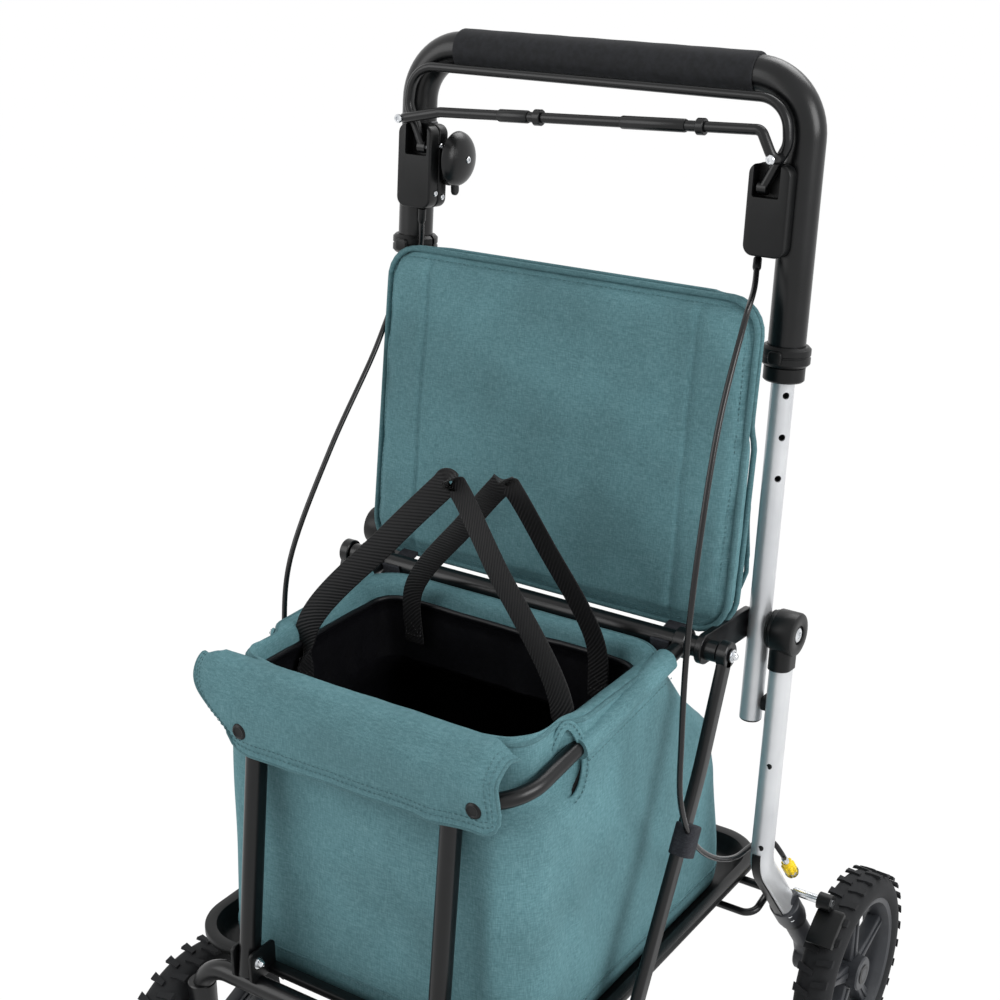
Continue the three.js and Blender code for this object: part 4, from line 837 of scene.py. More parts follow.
def buildAdjuster(side, sign):
    base, up, across = mirror(adjusterBase, sign), -mirror(legSlope, sign), Vector((1, 0, 0))
    shape = []
    for u, v in circle(1, 64):
        flute = (0.5 - 0.5 * math.cos(adjuster["flutes"] * math.atan2(v, u))) ** 2
        radius = adjuster["radius"] - adjuster["flute"] * flute
        shape.append((radius * u, radius * v))
    long, end = adjuster["long"] * adjuster["barrel"], adjuster["long"]
    barrel = prism("barrel", shape, long, base + up * long / 2, across, up.cross(across))
    cap = lathe("cap", [(0, long), (5, long), (4.2, end), (0, end)], base, up, 28)
    place(weld("thumb_wheel_" + side, [barrel, cap]), yellowAcetal, "rear_frame", ["cable_adjuster_" + side])
    low, high = -adjuster["stemLong"], end + adjuster["stemLong"]
    thread = [(adjuster["stem"] - (adjuster["thread"] if index % 2 else 0), low + index * adjuster["pitch"])
              for index in range(int((high - low) / adjuster["pitch"]))]
    stem = lathe("adjuster_stem_" + side, [(0, low)] + thread + [(0, high)], base, up, 16)
    place(stem, zincSteel, "rear_frame")
    hexNut("lock_nut_" + side, base - up * 4.4, up, "rear_frame", 8.6, 3.2, dome=False)


def buildUpperTubes():
    low, high, r = along(upperTube["low"]), along(upperTube["high"]), upperTube["radius"]
    for side, sign in sides.items():
        centre = onMast(sign * mast["x"], 0, 0)
        profile = [(0, low + 6), (r - 1.6, low + 6), (r - 1.6, low), (r - 0.3, low), (r, low + 0.4),
                   (r, high), (0, high)]
        tube = lathe("tube", profile, centre, mastAxis, 44)
        facing = Vector((sign * math.sin(math.pi / 4), -math.cos(math.pi / 4), 0))
        holes = [onMast(sign * mast["x"], 0, along(hole)) for hole in upperTube["holes"]]
        drills = [rod("drill", upperTube["hole"], 2, 14, spot, facing) for spot in holes]
        carve(tube, *drills, rod("drill", 4.3, -15, 15, centre))
        place(tube, silverLacquer, "handle_tubes", ["upper_tube_" + side], angle=30)
        for index, spot in enumerate(holes):
            plug = lathe(f"hole_bush_{side}_{index}", [
                (0, 3), (2.9, 3), (2.9, r - 1.4), (2.3, r - 1.4), (2.3, 4.4), (0, 4.4)], spot, facing, 20)
            place(plug, blackNylon, "handle_tubes")
        plug = lathe("tube_plug_" + side, [
            (0, low - 1.6), (r - 1.2, low - 1.6), (r - 0.2, low - 0.4), (r - 0.2, low + 0.6),
            (r - 1.8, low + 0.6), (r - 1.8, low + 7), (0, low + 7)], centre, mastAxis, 36)
        place(plug, blackNylon, "handle_tubes")
        inner = mast["x"] + r + 0.3
        washer = [(radius, (inner + step) * sign) for radius, step in (
            (4.3, 0), (13.4, 0), (16.4, 1.6), (17, 2.2), (17, 3.2), (16.4, 3.8), (4.3, 3.8), (4.3, 0))]
        place(lathe("flange_" + side, washer, (0, mast["pivotY"], mast["pivotZ"]), count=44), blackNylon,
              "handle_tubes", ["pivot_flange_" + side])


# Wheels: a treaded tyre on a five-spoke moulded hub
tyre = {"radius": 100, "rim": 76, "width": 36, "lugs": 30, "lug": 2.1}
rimShape = {"half": 15, "lip": 5, "spokes": 5}
shoe = {"from": 117, "to": 138, "inner": 102, "thick": 8, "wide": 26, "y": 168, "z": 204}


# Outward and forward directions on a wheel at an angle.
def wheelWays(angle):
    return Vector((0, math.cos(angle), math.sin(angle))), Vector((0, -math.sin(angle), math.cos(angle)))


def buildWheel(end, side, spot, sign):
    centre = Vector((sign * spot["x"], spot["y"], wheelAxle["z"]))
    body = f"{end}_wheel_{side}"
    w, rim, base = tyre["width"] / 2, tyre["rim"], tyre["radius"] - tyre["lug"]
    profile = [(rim, 0.84 * w)] + [(rim + (base - rim) * s, w * c) for s, c in (
        (0.16, 0.96), (0.4, 1.0), (0.62, 0.94), (0.8, 0.82), (0.93, 0.64), (1.0, 0.42), (1.0, 0.0))]
    profile += flip(profile[:-1], -1)[::-1] + profile[:1]
    pieces = [lathe("carcass", profile, centre, count=96)]
    lug = [(-1.1, 0.06), (-0.05, 0.34), (-0.05, 0.62), (-0.62, 0.52), (-1.1, 0.5)]
    for index in range(tyre["lugs"]):
        for row, shift in ((-1, 0), (1, 0.5)):
            corners = [(row * x * 0.42 * tyre["width"], (y - 0.34) * 17) for x, y in lug]
            ways = wheelWays(2 * math.pi * (index + shift) / tyre["lugs"])
            pieces.append(lugBlock(centre, *ways, corners, base))
    place(weld(f"{end}_tyre_tread_{side}", pieces), tyreRubber, body, [f"{end}_tyre_{side}"], angle=32)

    half, lip = rimShape["half"], rimShape["lip"]
    bead = [(rim, half), (rim - 1.5, half + 0.5), (rim - lip, half - 1), (rim - 1.6 * lip, half * 0.5),
            (rim - 2 * lip, 0)]
    mirrored = flip(bead[:-1], -1)[::-1]
    hub = [lathe("rim", mirrored[-1:] + bead + mirrored, centre, count=72)]
    core = [(6.6, -17), (15.5, -17), (17, -15.5), (17, 15.5), (15.5, 17), (6.6, 17), (6.6, -17)]
    hub.append(lathe("core", core, centre, count=40))
    long = rim - 2 * lip - 14
    reach = long / 2
    spoke = [(-reach, -9), (0, -6), (reach + 2, -7.5), (reach + 2, 7.5), (0, 6), (-reach, 9)]
    rib = [(3 - reach, -3), (reach, -1.6), (reach, 1.6), (3 - reach, 3)]
    for index in range(rimShape["spokes"]):
        out, run = wheelWays(2 * math.pi * index / rimShape["spokes"] + math.pi / 2)
        middle = centre + out * (15 + reach)
        hub.append(prism("spoke", spoke, 14, middle, out, run, edge=1.8, cuts=3))
        for face in (-1, 1):
            hub.append(prism("rib", rib, 3, middle + Vector((face * 7.4, 0, 0)), out, run, edge=1))
    place(weld(f"{end}_hub_casting_{side}", hub), greyNylon, body, [f"{end}_hub_{side}"])
    limit = 17.9 if end == "rear" else 20.6  # the rear axle leg leaves less room for a cap
    cap = [(radius, min(high, limit) * sign) for radius, high in (
        (0, 16), (9, 16), (10, 17), (9.4, 18.6), (6, 20), (0, 20.6))]
    place(lathe(f"{end}_hub_cap_{side}", cap, centre, count=32), blackNylon, body)


# One tread lug, lower where the tyre's shoulder falls away.
def lugBlock(middle, out, run, corners, base):
    points = []
    for lift, share in ((-0.8, 1), (tyre["lug"], 0.95)):
        for x, y in corners:
            drop = 0.0022 * max(0, abs(x) - 6) ** 2.4
            points.append(middle + Vector((x * share, 0, 0)) + out * (base + lift - drop) + run * y)
    return turnOutward(meshFrom("lug", points, skinFaces(2, len(corners))))


def buildWheels():
    angles = [math.radians(angle) for angle in range(shoe["from"], shoe["to"] + 1, 2)]
    arc = [(rearWheel["y"] + r * math.cos(angle), wheelAxle["z"] + r * math.sin(angle))
           for r, turns in ((shoe["inner"], angles), (shoe["inner"] + shoe["thick"], angles[::-1]))
           for angle in turns]
    for side, sign in sides.items():
        buildWheel("rear", side, rearWheel, sign)
        buildWheel("front", side, frontWheel, sign)
        block = prism("pad", arc, shoe["wide"], (sign * rearWheel["x"], 0, 0), across=(0, 1, 0), edge=1.2)
        spot = Vector((sign * rearWheel["x"], shoe["y"], shoe["z"]))
        eye = collar("eye", 4.3, 8, -shoe["wide"] / 2 * sign, 0, spot, 28)
        name = "brake_shoe_" + side
        place(weld("shoe_pad_" + side, [block, eye]), blackNylon, name, [name])
        place(rod("shoe_pin_" + side, 4, 222 * sign, 262 * sign, (0, spot.y, spot.z)), zincSteel,
              "rear_frame")


# Front frame: braces, seat tube, legs, the beam and its casters
brace = {"x": 200, "thick": 9.4, "wide": 15, "kneeY": 2, "kneeZ": 405, "bend": 320}
seat = {"radius": 7, "half": 150, "rearHalf": 160, "y": -212, "z": 457, "bend": 48}
frontLeg = {"x": 98.5, "wide": 15.6, "deep": 20, "low": 231.3, "high": 449.7}
beam = {"radius": 9, "y": -240, "z": 222, "half": 156, "bend": 34, "end": 176}
caster = {"cup": 12.5, "cupHigh": 200, "crown": 13, "low": 152, "arm": 24, "armThick": 9, "armX": 164.3}
footBar = {"radius": 8, "y": -110, "z": 205.7, "half": 195}
tie = {"x": 203.4, "middle": 356, "half": 12, "section": (19, 21)}


# The ring that ends a bar: its bore, radius, half width and the size of its rounded edge.
def eyeRing(name, bore, radius, half, edge, centre, count):
    side = [(bore, half), (radius - edge, half), (radius, half - edge)]
    profile = flip(side, -1) + side[::-1]
    return lathe(name, profile + (profile[:1] if bore else []), centre, count=count)


def buildFrontFrame():
    for side, sign in sides.items():
        spots = [(sign * brace["x"], y, z) for y, z in (
            (crossbar["y"], crossbar["z"]), (brace["kneeY"], brace["kneeZ"]), (footBar["y"], footBar["z"]))]
        bar = sweep("bar", bent(spots, brace["bend"], 16), roundRect(brace["thick"], brace["wide"], 3.4, 6))
        pieces = [bar, eyeRing("eye", 4.3, 11.5, 4.7, 0.8, spots[0], 36)]
        pieces.append(lathe("eye", [(0, -4.7), (7.4, -4.7), (8, -4), (8, 4), (7.4, 4.7), (0, 4.7)], spots[2],
                            count=32))
        place(weld("brace_bar_" + side, pieces), blackCoat, "front_frame", ["brace_" + side])
        hexNut("brace_nut_" + side, (sign * 206.6, crossbar["y"], crossbar["z"]), (sign, 0, 0), "rear_frame",
               7.4, 1.6)
        # The cloth tie that holds the brake cable to the brace
        run = (footBar["y"] - brace["kneeY"]) / (footBar["z"] - brace["kneeZ"])
        line = [(sign * tie["x"], brace["kneeY"] + (z - brace["kneeZ"]) * run, z)
                for z in (tie["middle"] + tie["half"], tie["middle"], tie["middle"] - tie["half"])]
        wrap = soften(sweep("cable_tie_" + side, line, roundRect(*tie["section"], 6, 6)), 1.6, 3)
        place(wrap, tabCloth, "front_frame")
        ends = [(sign * frontLeg["x"], beam["y"], frontLeg["low"]),
                (sign * frontLeg["x"], seat["y"], frontLeg["high"])]
        shaft = sweep("front_shaft_" + side, ends, roundRect(frontLeg["wide"], frontLeg["deep"], 7.7, 10))
        place(shaft, blackCoat, "front_frame", ["front_leg_" + side])

    middle = (0, footBar["y"], footBar["z"])
    cross = eyeRing("cross_rod", 0, footBar["radius"], footBar["half"], 1, middle, 32)
    place(cross, blackCoat, "front_frame", ["foot_bar"])

    rear, front = (seat["rearHalf"], crossbar["y"], crossbar["z"]), (seat["half"], seat["y"], seat["z"])
    path = bent([rear, front, mirror(front, -1), mirror(rear, -1)], seat["bend"], 16)
    pieces = [sweep("rail", path, circle(seat["radius"], 28))]
    for sign in (1, -1):
        pieces.append(eyeRing("eye", 9.3, 13, 5.5, 0.8, mirror(rear, sign), 40))
    place(weld("seat_rail", pieces), blackCoat, "front_frame", ["seat_frame"])

    corners = [(beam["half"], beam["y"], beam["end"]), (beam["half"], beam["y"], beam["z"])]
    corners += [(-x, y, z) for x, y, z in reversed(corners)]
    parts = [sweep("cross", bent(corners, beam["bend"], 14), circle(beam["radius"], 32), sideways=(0, 1, 0))]
    low, high, cup = beam["end"], caster["cupHigh"], caster["cup"]
    profile = [(7.3, low), (cup - 0.8, low), (cup, low + 0.8), (cup, high - 1), (cup - 1, high), (0, high)]
    for sign in (1, -1):
        parts.append(lathe("cup", profile, (sign * beam["half"], beam["y"], 0), (0, 0, 1), 36))
    place(weld("caster_beam", parts), blackCoat, "front_frame", ["front_beam"])

    foot, top, r = caster["low"], beam["end"] - 0.3, caster["crown"]
    crown = [(0, foot), (r - 1, foot), (r, foot + 1), (r, top - 1), (r - 1, top), (7, top), (7, 197),
             (0, 197)]
    arm = [(beam["y"], 170), (beam["y"] + 4, foot), (frontWheel["y"] - 3, 112), (frontWheel["y"], 100)]
    inner, face = caster["armX"] - caster["armThick"] / 2, frontWheel["x"] - wheelAxle["reach"]
    boss = [(0, inner), (r - 1, inner), (r, inner + 1), (r, face - 1), (r - 1, face), (6, face), (6, 207.8),
            (0, 207.8)]
    for side, sign in sides.items():
        parts = [lathe("crown", crown, (sign * beam["half"], beam["y"], 0), (0, 0, 1), 36)]
        parts.append(sweep("arm", spline([(sign * caster["armX"], y, z) for y, z in arm], 8),
                           roundRect(caster["armThick"], caster["arm"], 3, 4)))
        parts.append(lathe("boss", flip(boss, sign), (0, frontWheel["y"], wheelAxle["z"]), count=36))
        place(weld("fork_" + side, parts), blackCoat, "caster_" + side, ["caster_fork_" + side])
        hexNut("axle_nut_" + side, (sign * (inner + 0.5), frontWheel["y"], wheelAxle["z"]), (-sign, 0, 0),
               "caster_" + side, 10, 4)


# Tray: a drafted moulded tub under a rolled rim, with ears that clasp the front legs
tray = {"half": 188, "front": -228, "rear": 188, "rim": 235, "corner": 48, "flange": 10, "lip": 7,
        "wall": 2.6, "floor": 214, "draft": 9}
ear = {"away": 9.9, "y": -234, "z": 243, "deep": 32, "tall": 30, "thick": 3, "nutY": -240, "nutZ": 246}


def trayRing(inset, z, steps=14):
    wide, deep = 2 * (tray["half"] - inset), tray["rear"] - tray["front"] - 2 * inset
    middle = (tray["rear"] + tray["front"]) / 2
    return [(x, y + middle, z) for x, y in roundRect(wide, deep, max(tray["corner"] - inset, 10), steps)]


def buildTray():
    f, rim, wall, deep = tray["flange"], tray["rim"], tray["wall"], tray["flange"] + tray["draft"]
    lip, floor = rim - tray["lip"], tray["floor"]
    section = [(0.4, lip), (0, lip + 0.6), (0, rim - 1.2), (0.5, rim - 0.3), (1.4, rim), (f - 1, rim),
               (f + 0.4, rim - 0.4), (f + 1, rim - 1.4), (f + wall + 2, rim - 8), (deep - 1, floor + 6),
               (deep + 3, floor + 3), (deep + 9, floor + wall), (deep + 40, floor + wall)]
    rings = [trayRing(inset, z) for inset, z in section]
    size = len(rings[0])
    rings = [ring for ring in rings if len(ring) == size]
    shell = turnOutward(meshFrom("tub", [spot for ring in rings for spot in ring],
                                 bottomed(len(rings), size)))
    thick = shell.modifiers.new("wall", "SOLIDIFY")
    thick.thickness = wall / 1000
    thick.offset = -1
    parts = [shell]
    for sign in (1, -1):
        for way in (1, -1):
            spot = (sign * (frontLeg["x"] + way * ear["away"]), ear["y"], ear["z"])
            parts.append(prism("ear", roundRect(ear["deep"], ear["tall"], 5, 6), ear["thick"], spot,
                               across=(0, 1, 0), edge=0.8, cuts=3))
    place(weld("tray_tub", parts), blackNylon, "front_frame", ["tray"], angle=34)
    for side, sign in sides.items():
        for index, way in enumerate((1, -1)):
            x = sign * (frontLeg["x"] + way * (ear["away"] + ear["thick"] / 2))
            hexNut(f"ear_nut_{side}_{index}", (x, ear["nutY"], ear["nutZ"]), (sign * way, 0, 0),
                   "front_frame", 7, 3)
        for index, y in enumerate((-90, 95)):
            hexNut(f"tray_nut_{side}_{index}", (sign * 178, y, 226), (sign, 0, 0), "front_frame", 7, 3)


buildHandle()
buildHousings()
buildBrakeBar()
buildBell()
print("handle, housings, brake bar and bell ready")
buildRearFrame()
buildUpperTubes()
buildWheels()
print("rear frame, upper tubes and wheels ready")
buildFrontFrame()
buildTray()
print("front frame and tray ready")


# Cloth helpers
# A row of raised thread dashes along a line, each lying on the cloth whose outward direction is given.
def stitchRow(name, path, body, out, material=None, long=3.0, gap=1.6, wide=0.75):
    path = [Vector(spot) for spot in path]
    outward = out if callable(out) else (lambda spot: Vector(out))
    ladder = ((0, 0.35, 0.05), (0.3, 1, 0.5), (0.7, 1, 0.5), (1, 0.35, 0.05))  # a dash's reach, girth, lift
    points, faces, travelled, nextAt = [], [], 0.0, 0.0
    for first, second in zip(path[:-1], path[1:]):
        span = (second - first).length
        if span < 1e-6:
            continue
        tangent = (second - first) / span
        while nextAt < travelled + span:
            spot = first + tangent * (nextAt - travelled)
            normal = outward(spot).normalized()
            side = tangent.cross(normal).normalized()
            start = len(points)
            for step, (reach, girth, lift) in enumerate(ladder):
                centre = spot + tangent * reach * long + normal * lift
                points += [centre + (side * u + normal * v) * wide / 2 * girth for u, v in circle(1, 4)]
                if step:
                    a = start + (step - 1) * 4
                    faces += [(a + i, a + (i + 1) % 4, a + 4 + (i + 1) % 4, a + 4 + i) for i in range(4)]
            faces += [(start + 3, start + 2, start + 1, start), tuple(start + 12 + i for i in range(4))]
            nextAt += long + gap
        travelled += span
    return place(turnOutward(meshFrom(name, points, faces)), material or tealThread, body)


# Swells a closed shell like a stuffed cover: an even mesh and air pressure. Its points then keep only what
# they moved along its thickness.
stuffing = {"voxel": 4.4, "most": 5, "steps": 20, "cloth": {
    "use_pressure": True, "uniform_pressure_force": 3.2, "quality": 4, "mass": 0.3, "bending_stiffness": 4,
    "tension_stiffness": 12}}


def inflate(piece, axis):
    remesh = piece.modifiers.new("even", "REMESH")
    remesh.mode = "VOXEL"
    remesh.voxel_size = stuffing["voxel"] / 1000
    applyModifiers(piece)
    starts = [vertex.co.copy() for vertex in piece.data.vertices]
    cloth = piece.modifiers.new("stuffing", "CLOTH")
    for setting, value in stuffing["cloth"].items():
        setattr(cloth.settings, setting, value)
    cloth.settings.effector_weights.gravity = 0
    scene = bpy.context.scene
    for step in range(1, stuffing["steps"] + 1):
        scene.frame_set(step)
    applyModifiers(piece)
    scene.frame_set(1)
    most = stuffing["most"] / 1000
    for vertex, start in zip(piece.data.vertices, starts):
        vertex.co = start + axis * min(max((vertex.co - start).dot(axis), -most), most)
    refine = piece.modifiers.new("fine", "SUBSURF")
    refine.levels = refine.render_levels = 1
    applyModifiers(piece)


def wrinkle(spot, size, seed):
    return noise.noise(Vector((spot[0] / size + seed, spot[1] / size - seed, spot[2] / size + 2 * seed)))


# From nothing at low to all at high, softly.
def ease(value, low, high):
    t = min(max((value - low) / (high - low), 0), 1)
    return t * t * (3 - 2 * t)


# A narrow groove or ridge: one in its middle, fading over the given width.
def ridge(away, wide):
    return math.exp(-(away / wide) ** 2)


def evenLoop(points, count):
    points = [Vector(spot) for spot in points]
    lengths = [(points[(i + 1) % len(points)] - points[i]).length for i in range(len(points))]
    total, result, index, travelled = sum(lengths), [], 0, 0.0
    for step in range(count):
        goal = total * step / count
        while travelled + lengths[index] < goal:
            travelled += lengths[index]
            index += 1
        share = (goal - travelled) / lengths[index]
        result.append(points[index].lerp(points[(index + 1) % len(points)], share))
    return result


# Polyester thread, a shade under the cloth that it holds: small dark dashes along each seam.
tealThread = skinMaterial("polyester_thread_teal", "3d646a", "476f75", 0.6, 0.4, 0.04, drift=9)
# Black bonded thread of the strap ends.
strapThread = skinMaterial("polyester_thread_black", "141417", "1e1e22", 0.55, 0.4, 0.04, drift=9)

# Lid: a boxed and piped cushion that stands open as a backrest
lid = {
    "half": 189, "low": 501, "high": 788, "front": 56.7, "tilt": math.atan(0.14), "thick": 21, "crown": 6,
    "corner": 31, "seamX": 137, "seamDeep": 2.4, "hem": 13, "piping": 2.6, "count": 96,
}
lidSine, lidCosine = math.sin(lid["tilt"]), math.cos(lid["tilt"])
lidHigh = (lid["high"] - lid["low"]) / lidCosine
lidFootY = lid["front"] + (lid["thick"] + lid["crown"]) / lidCosine
lidFootZ = lid["low"] - 0.45 * lid["thick"] * lidSine


# A place on the lid: across, up from its foot, and forward from its back face.
def onLid(x, up, deep):
    return Vector((x, lidFootY - deep * lidCosine + up * lidSine,
                   lidFootZ + deep * lidSine + up * lidCosine))


def offLid(spot):
    y, z = spot.y * 1000 + midShift - lidFootY, spot.z * 1000 - lidFootZ
    return spot.x * 1000, y * lidSine + z * lidCosine, z * lidSine - y * lidCosine


# The lid's outline drawn in from its edge, at a depth.
def lidLoop(inset, deep, count):
    shape = roundRect(2 * (lid["half"] - inset), lidHigh - 2 * inset, max(lid["corner"] - inset, 6), 12)
    loop = [(p.x, p.y + lidHigh / 2) for p in evenLoop([(x, y, 0) for x, y in shape], count)]
    return [onLid(x, up, clearHousings(x, up, deep)) for x, up in loop]


# How far the front cloth of the lid stands out or in: soft folds, two sewn channels and a hem at the foot.
def lidRelief(x, up):
    relief = 1.8 * wrinkle((x, up, 0), 130, 3) + 0.8 * wrinkle((x, up, 0), 46, 9)
    relief += 1.1 * wrinkle((x, up * 0.3, 0), 30, 14) * ease(up, 150, 30)
    relief += 2.4 * ridge(x - 10, 95) * ridge(up - 120, 80)
    for seam in (-lid["seamX"], lid["seamX"]):
        away = x - seam - 3 * wrinkle((up, 0, 0), 90, seam)
        relief += 0.8 * ridge(abs(away) - 9, 6) - lid["seamDeep"] * ridge(away, 2.8)
    relief -= 1.8 * ridge(up - lid["hem"], 2.6)
    edge = min(lid["half"] - abs(x), up, lidHigh - up)
    return relief * ease(edge, 2, 16) - 1.3 * ridge(edge - 8.5, 2.6)


# The back edge draws forward where the lowered brake housings pass behind the lid's top corners.
clear = {"under": 16, "most": 12.5, "across": (134, 150), "up": (160, 188)}


def clearHousings(x, up, deep):
    share = max(1 - deep / clear["under"], 0)
    return deep + clear["most"] * share * ease(abs(x), *clear["across"]) * ease(up, *clear["up"])


def buildLid():
    profile = [(60, 0.5), (24, 0.5), (10, 1.2), (3.8, 3), (2.2, 6), (1.6, 11), (2.0, 16), (3.2, 19.4),
               (8, 22.6), (18, 24.4), (40, 25.4), (80, 26)]  # inset from the edge, height above the back
    points = [spot for inset, deep in profile for spot in lidLoop(inset, deep, lid["count"])]
    cushion = turnOutward(meshFrom("lid_cushion", points, skinFaces(len(profile), lid["count"])))
    forward = onLid(0, 0, 1) - onLid(0, 0, 0)
    inflate(cushion, forward.normalized())
    frontFrom, backTo, most = 11, 6, 31  # where front and back cloth begin, how far the front may reach
    for vertex in cushion.data.vertices:
        x, up, deep = offLid(vertex.co)
        dent = 0
        if deep > frontFrom:
            dent = min(lidRelief(x, up), most - deep)
        elif deep < backTo:
            dent = -0.8 * wrinkle((x, up, 0), 60, 5)
        vertex.co += forward * dent / 1000
    place(cushion, tealCanvas, "lid", ["lid_panel"], angle=60)
    for name, deep in (("front", 20.4), ("back", 2.2)):
        cord = sweep("lid_piping_" + name, lidLoop(2.2, deep, 170), circle(lid["piping"], 10),
                     sideways=(0, 1, 0), loop=True)
        place(cord, tealPiping, "lid", angle=60)
    edge = lidLoop(9, 24.6, 190)
    stitchRow("lid_edge_stitches", edge + edge[:1], "lid", (0, -1, 0.14))
    for side, sign in sides.items():
        x = sign * (lid["seamX"] + 2.6)
        line = [onLid(x, up, 26.4 + lidRelief(x, up)) for up in range(14, int(lidHigh) - 12, 4)]
        stitchRow("lid_seam_stitches_" + side, line, "lid", (0, -1, 0.14))
        buildTab(side, sign)


# A cloth tab sewn under the lid and wrapped round the crossbar as its hinge.
def buildTab(side, sign):
    tab = {"x": 143, "wide": 18, "thick": 3.0, "reach": 34, "sewn": 505.6}
    ring, y, z = crossbar["radius"] + 2.1, crossbar["y"], crossbar["z"]
    path = [(y + tab["reach"], tab["sewn"]), (y + tab["reach"] - 14, tab["sewn"] - 0.2),
            (y + ring, tab["sewn"] - 2.4)]
    for step in range(20):
        angle = math.radians(8 * step)
        path.append((y + ring * math.cos(angle), z - ring * math.sin(angle)))
    path.append((y - ring - 0.3, tab["sewn"] - 2.6))
    cloth = sweep("hinge_tab_" + side, [(sign * tab["x"], *spot) for spot in path],
                  roundRect(tab["wide"], tab["thick"], 1.1, 3))
    place(cloth, tabCloth, "lid", ["lid_tab_" + side], angle=50)


# Back pocket on the lid: fuller at its foot, piped round its edge
pocket = {
    "half": 170, "low": 513, "high": 672, "thick": 56, "slope": 0.14, "corner": 18, "piping": 2.2,
    "mouth": 0.84,
    "table": [(0, 0.94, 0.7), (0.03, 0.98, 0.95), (0.12, 1, 1), (0.5, 1, 0.8), (0.72, 0.97, 0.6),
              (0.88, 0.88, 0.42), (1, 0.7, 0.2)],  # shares of the height, the half width, the thickness
}


# A table's other columns at a value of its first, eased past a value where that is wanted.
def between(table, value, easeFrom=2):
    before, after = next(pair for pair in zip(table[:-1], table[1:]) if value <= pair[1][0] + 1e-9)
    t = (value - before[0]) / (after[0] - before[0])
    t = ease(value, before[0], after[0]) if value > easeFrom else t
    return [a + (b - a) * t for a, b in zip(before[1:], after[1:])]


# The pocket's height, half-width share, thickness share and front face at a share of the way up.
def pocketAt(rise):
    across, deep = between(pocket["table"], rise, 0.2)
    high = pocket["low"] + rise * (pocket["high"] - pocket["low"])
    return high, across, deep, lidFootY + 0.4 + pocket["slope"] * (high - lidFootZ)


def buildPocket():
    points, rings, size = [], 34, 120
    for ring in range(rings):
        rise = ring / (rings - 1)
        high, across, deep, face = pocketAt(rise)
        shape = roundRect(2 * pocket["half"] * across, deep * pocket["thick"], deep * pocket["corner"], 8)
        for p in evenLoop([(x, y, 0) for x, y in shape], size):
            bulge = 1 + 0.035 * math.sin(math.pi * rise) * (1 if p.y > 0 else 0)
            fold = 1.6 * wrinkle((p.x, 0, high), 34, 4) if p.y > 2 else 0
            wide = 1 + 0.004 * wrinkle((p.y, 0, high), 20, 8)
            points.append((p.x * wide, p.y * bulge + fold + face + deep * pocket["thick"] / 2, high))
    cover = turnOutward(meshFrom("back_pocket_cover", points, skinFaces(rings, size)))
    place(cover, tealCanvas, "lid", ["back_pocket"], angle=60)
    rim = []
    for step in range(61):
        high, across, deep, face = pocketAt(step / 60)
        rim.append((pocket["half"] * across - 1.2, face + deep * pocket["thick"] - 5, high))
    loop = rim + [(-x, y, z) for x, y, z in reversed(rim)]
    cord = sweep("pocket_piping", loop, circle(pocket["piping"], 10), sideways=(0, 1, 0))
    place(cord, tealPiping, "lid", angle=60)
    high, across, deep, face = pocketAt(pocket["mouth"])
    line = [(x, face + 1.009 * deep * pocket["thick"] + 0.8, high) for x in range(-138, 139, 3)]
    binding = sweep("pocket_mouth_binding", line, roundRect(7, 2.2, 1), sideways=(0, 0, 1))
    place(binding, tealPiping, "lid", angle=60)


# Bag: a tapered canvas sack hung from the seat tube, with a hemmed mouth
bag = {
    "half": 157, "foot": 163, "front": -199, "footFront": -206, "low": 217.5, "top": 496, "deck": 503,
    "middle": -28, "halfDeep": 178, "tuck": 13, "sleeveAt": 0.36,
    "corner": 40, "rear": 150, "sleeve": 10.4, "wall": 2.2, "piping": 2.1, "hem": 19, "size": 240,
    "table": [(0, 1, 1), (0.15, 1, 0.987), (0.43, 0.99, 0.933), (0.6, 0.975, 0.853), (0.73, 0.968, 0.58),
              (0.95, 0.963, 0.22), (1, 0.963, 0.2)],  # shares of the height, the foot's width, the depth
    "frontFolds": [(-118, 5, 2.4), (-60, 14, -1.6), (20, 9, 1.2), (96, 12, 2.0), (128, 7, 2.8)],
    "sideFolds": [(-150, 9, 2.8), (-118, 16, -2.0), (-60, 24, 1.8), (-20, 10, -1.2), (40, 18, -1.8)],
}  # a fold is a place, a width and how far it stands out
liner = {"half": 138.8, "rear": 18, "front": -177.7, "top": 484, "corner": 26, "wall": 1.4}
snaps = {"right": 126, "left": -113}


def bagRise(z):
    return min(max((z - bag["low"]) / (bag["deck"] - bag["low"]), 0), 1)


# The bag's plain outline at a height, drawn in by the given inset.
def bagLoop(inset, z, size):
    rise = bagRise(z)
    across, back = between(bag["table"], rise)
    front = bag["footFront"] + rise * (bag["front"] - bag["footFront"]) + inset
    rear = bag["rear"] * back - inset
    shape = roundRect(2 * (bag["foot"] * across - inset), rear - front, bag["corner"] - inset, 10)
    loop = evenLoop([(x, y, 0) for x, y in shape], size)
    return [Vector((p.x, p.y + (rear + front) / 2, z)) for p in loop]


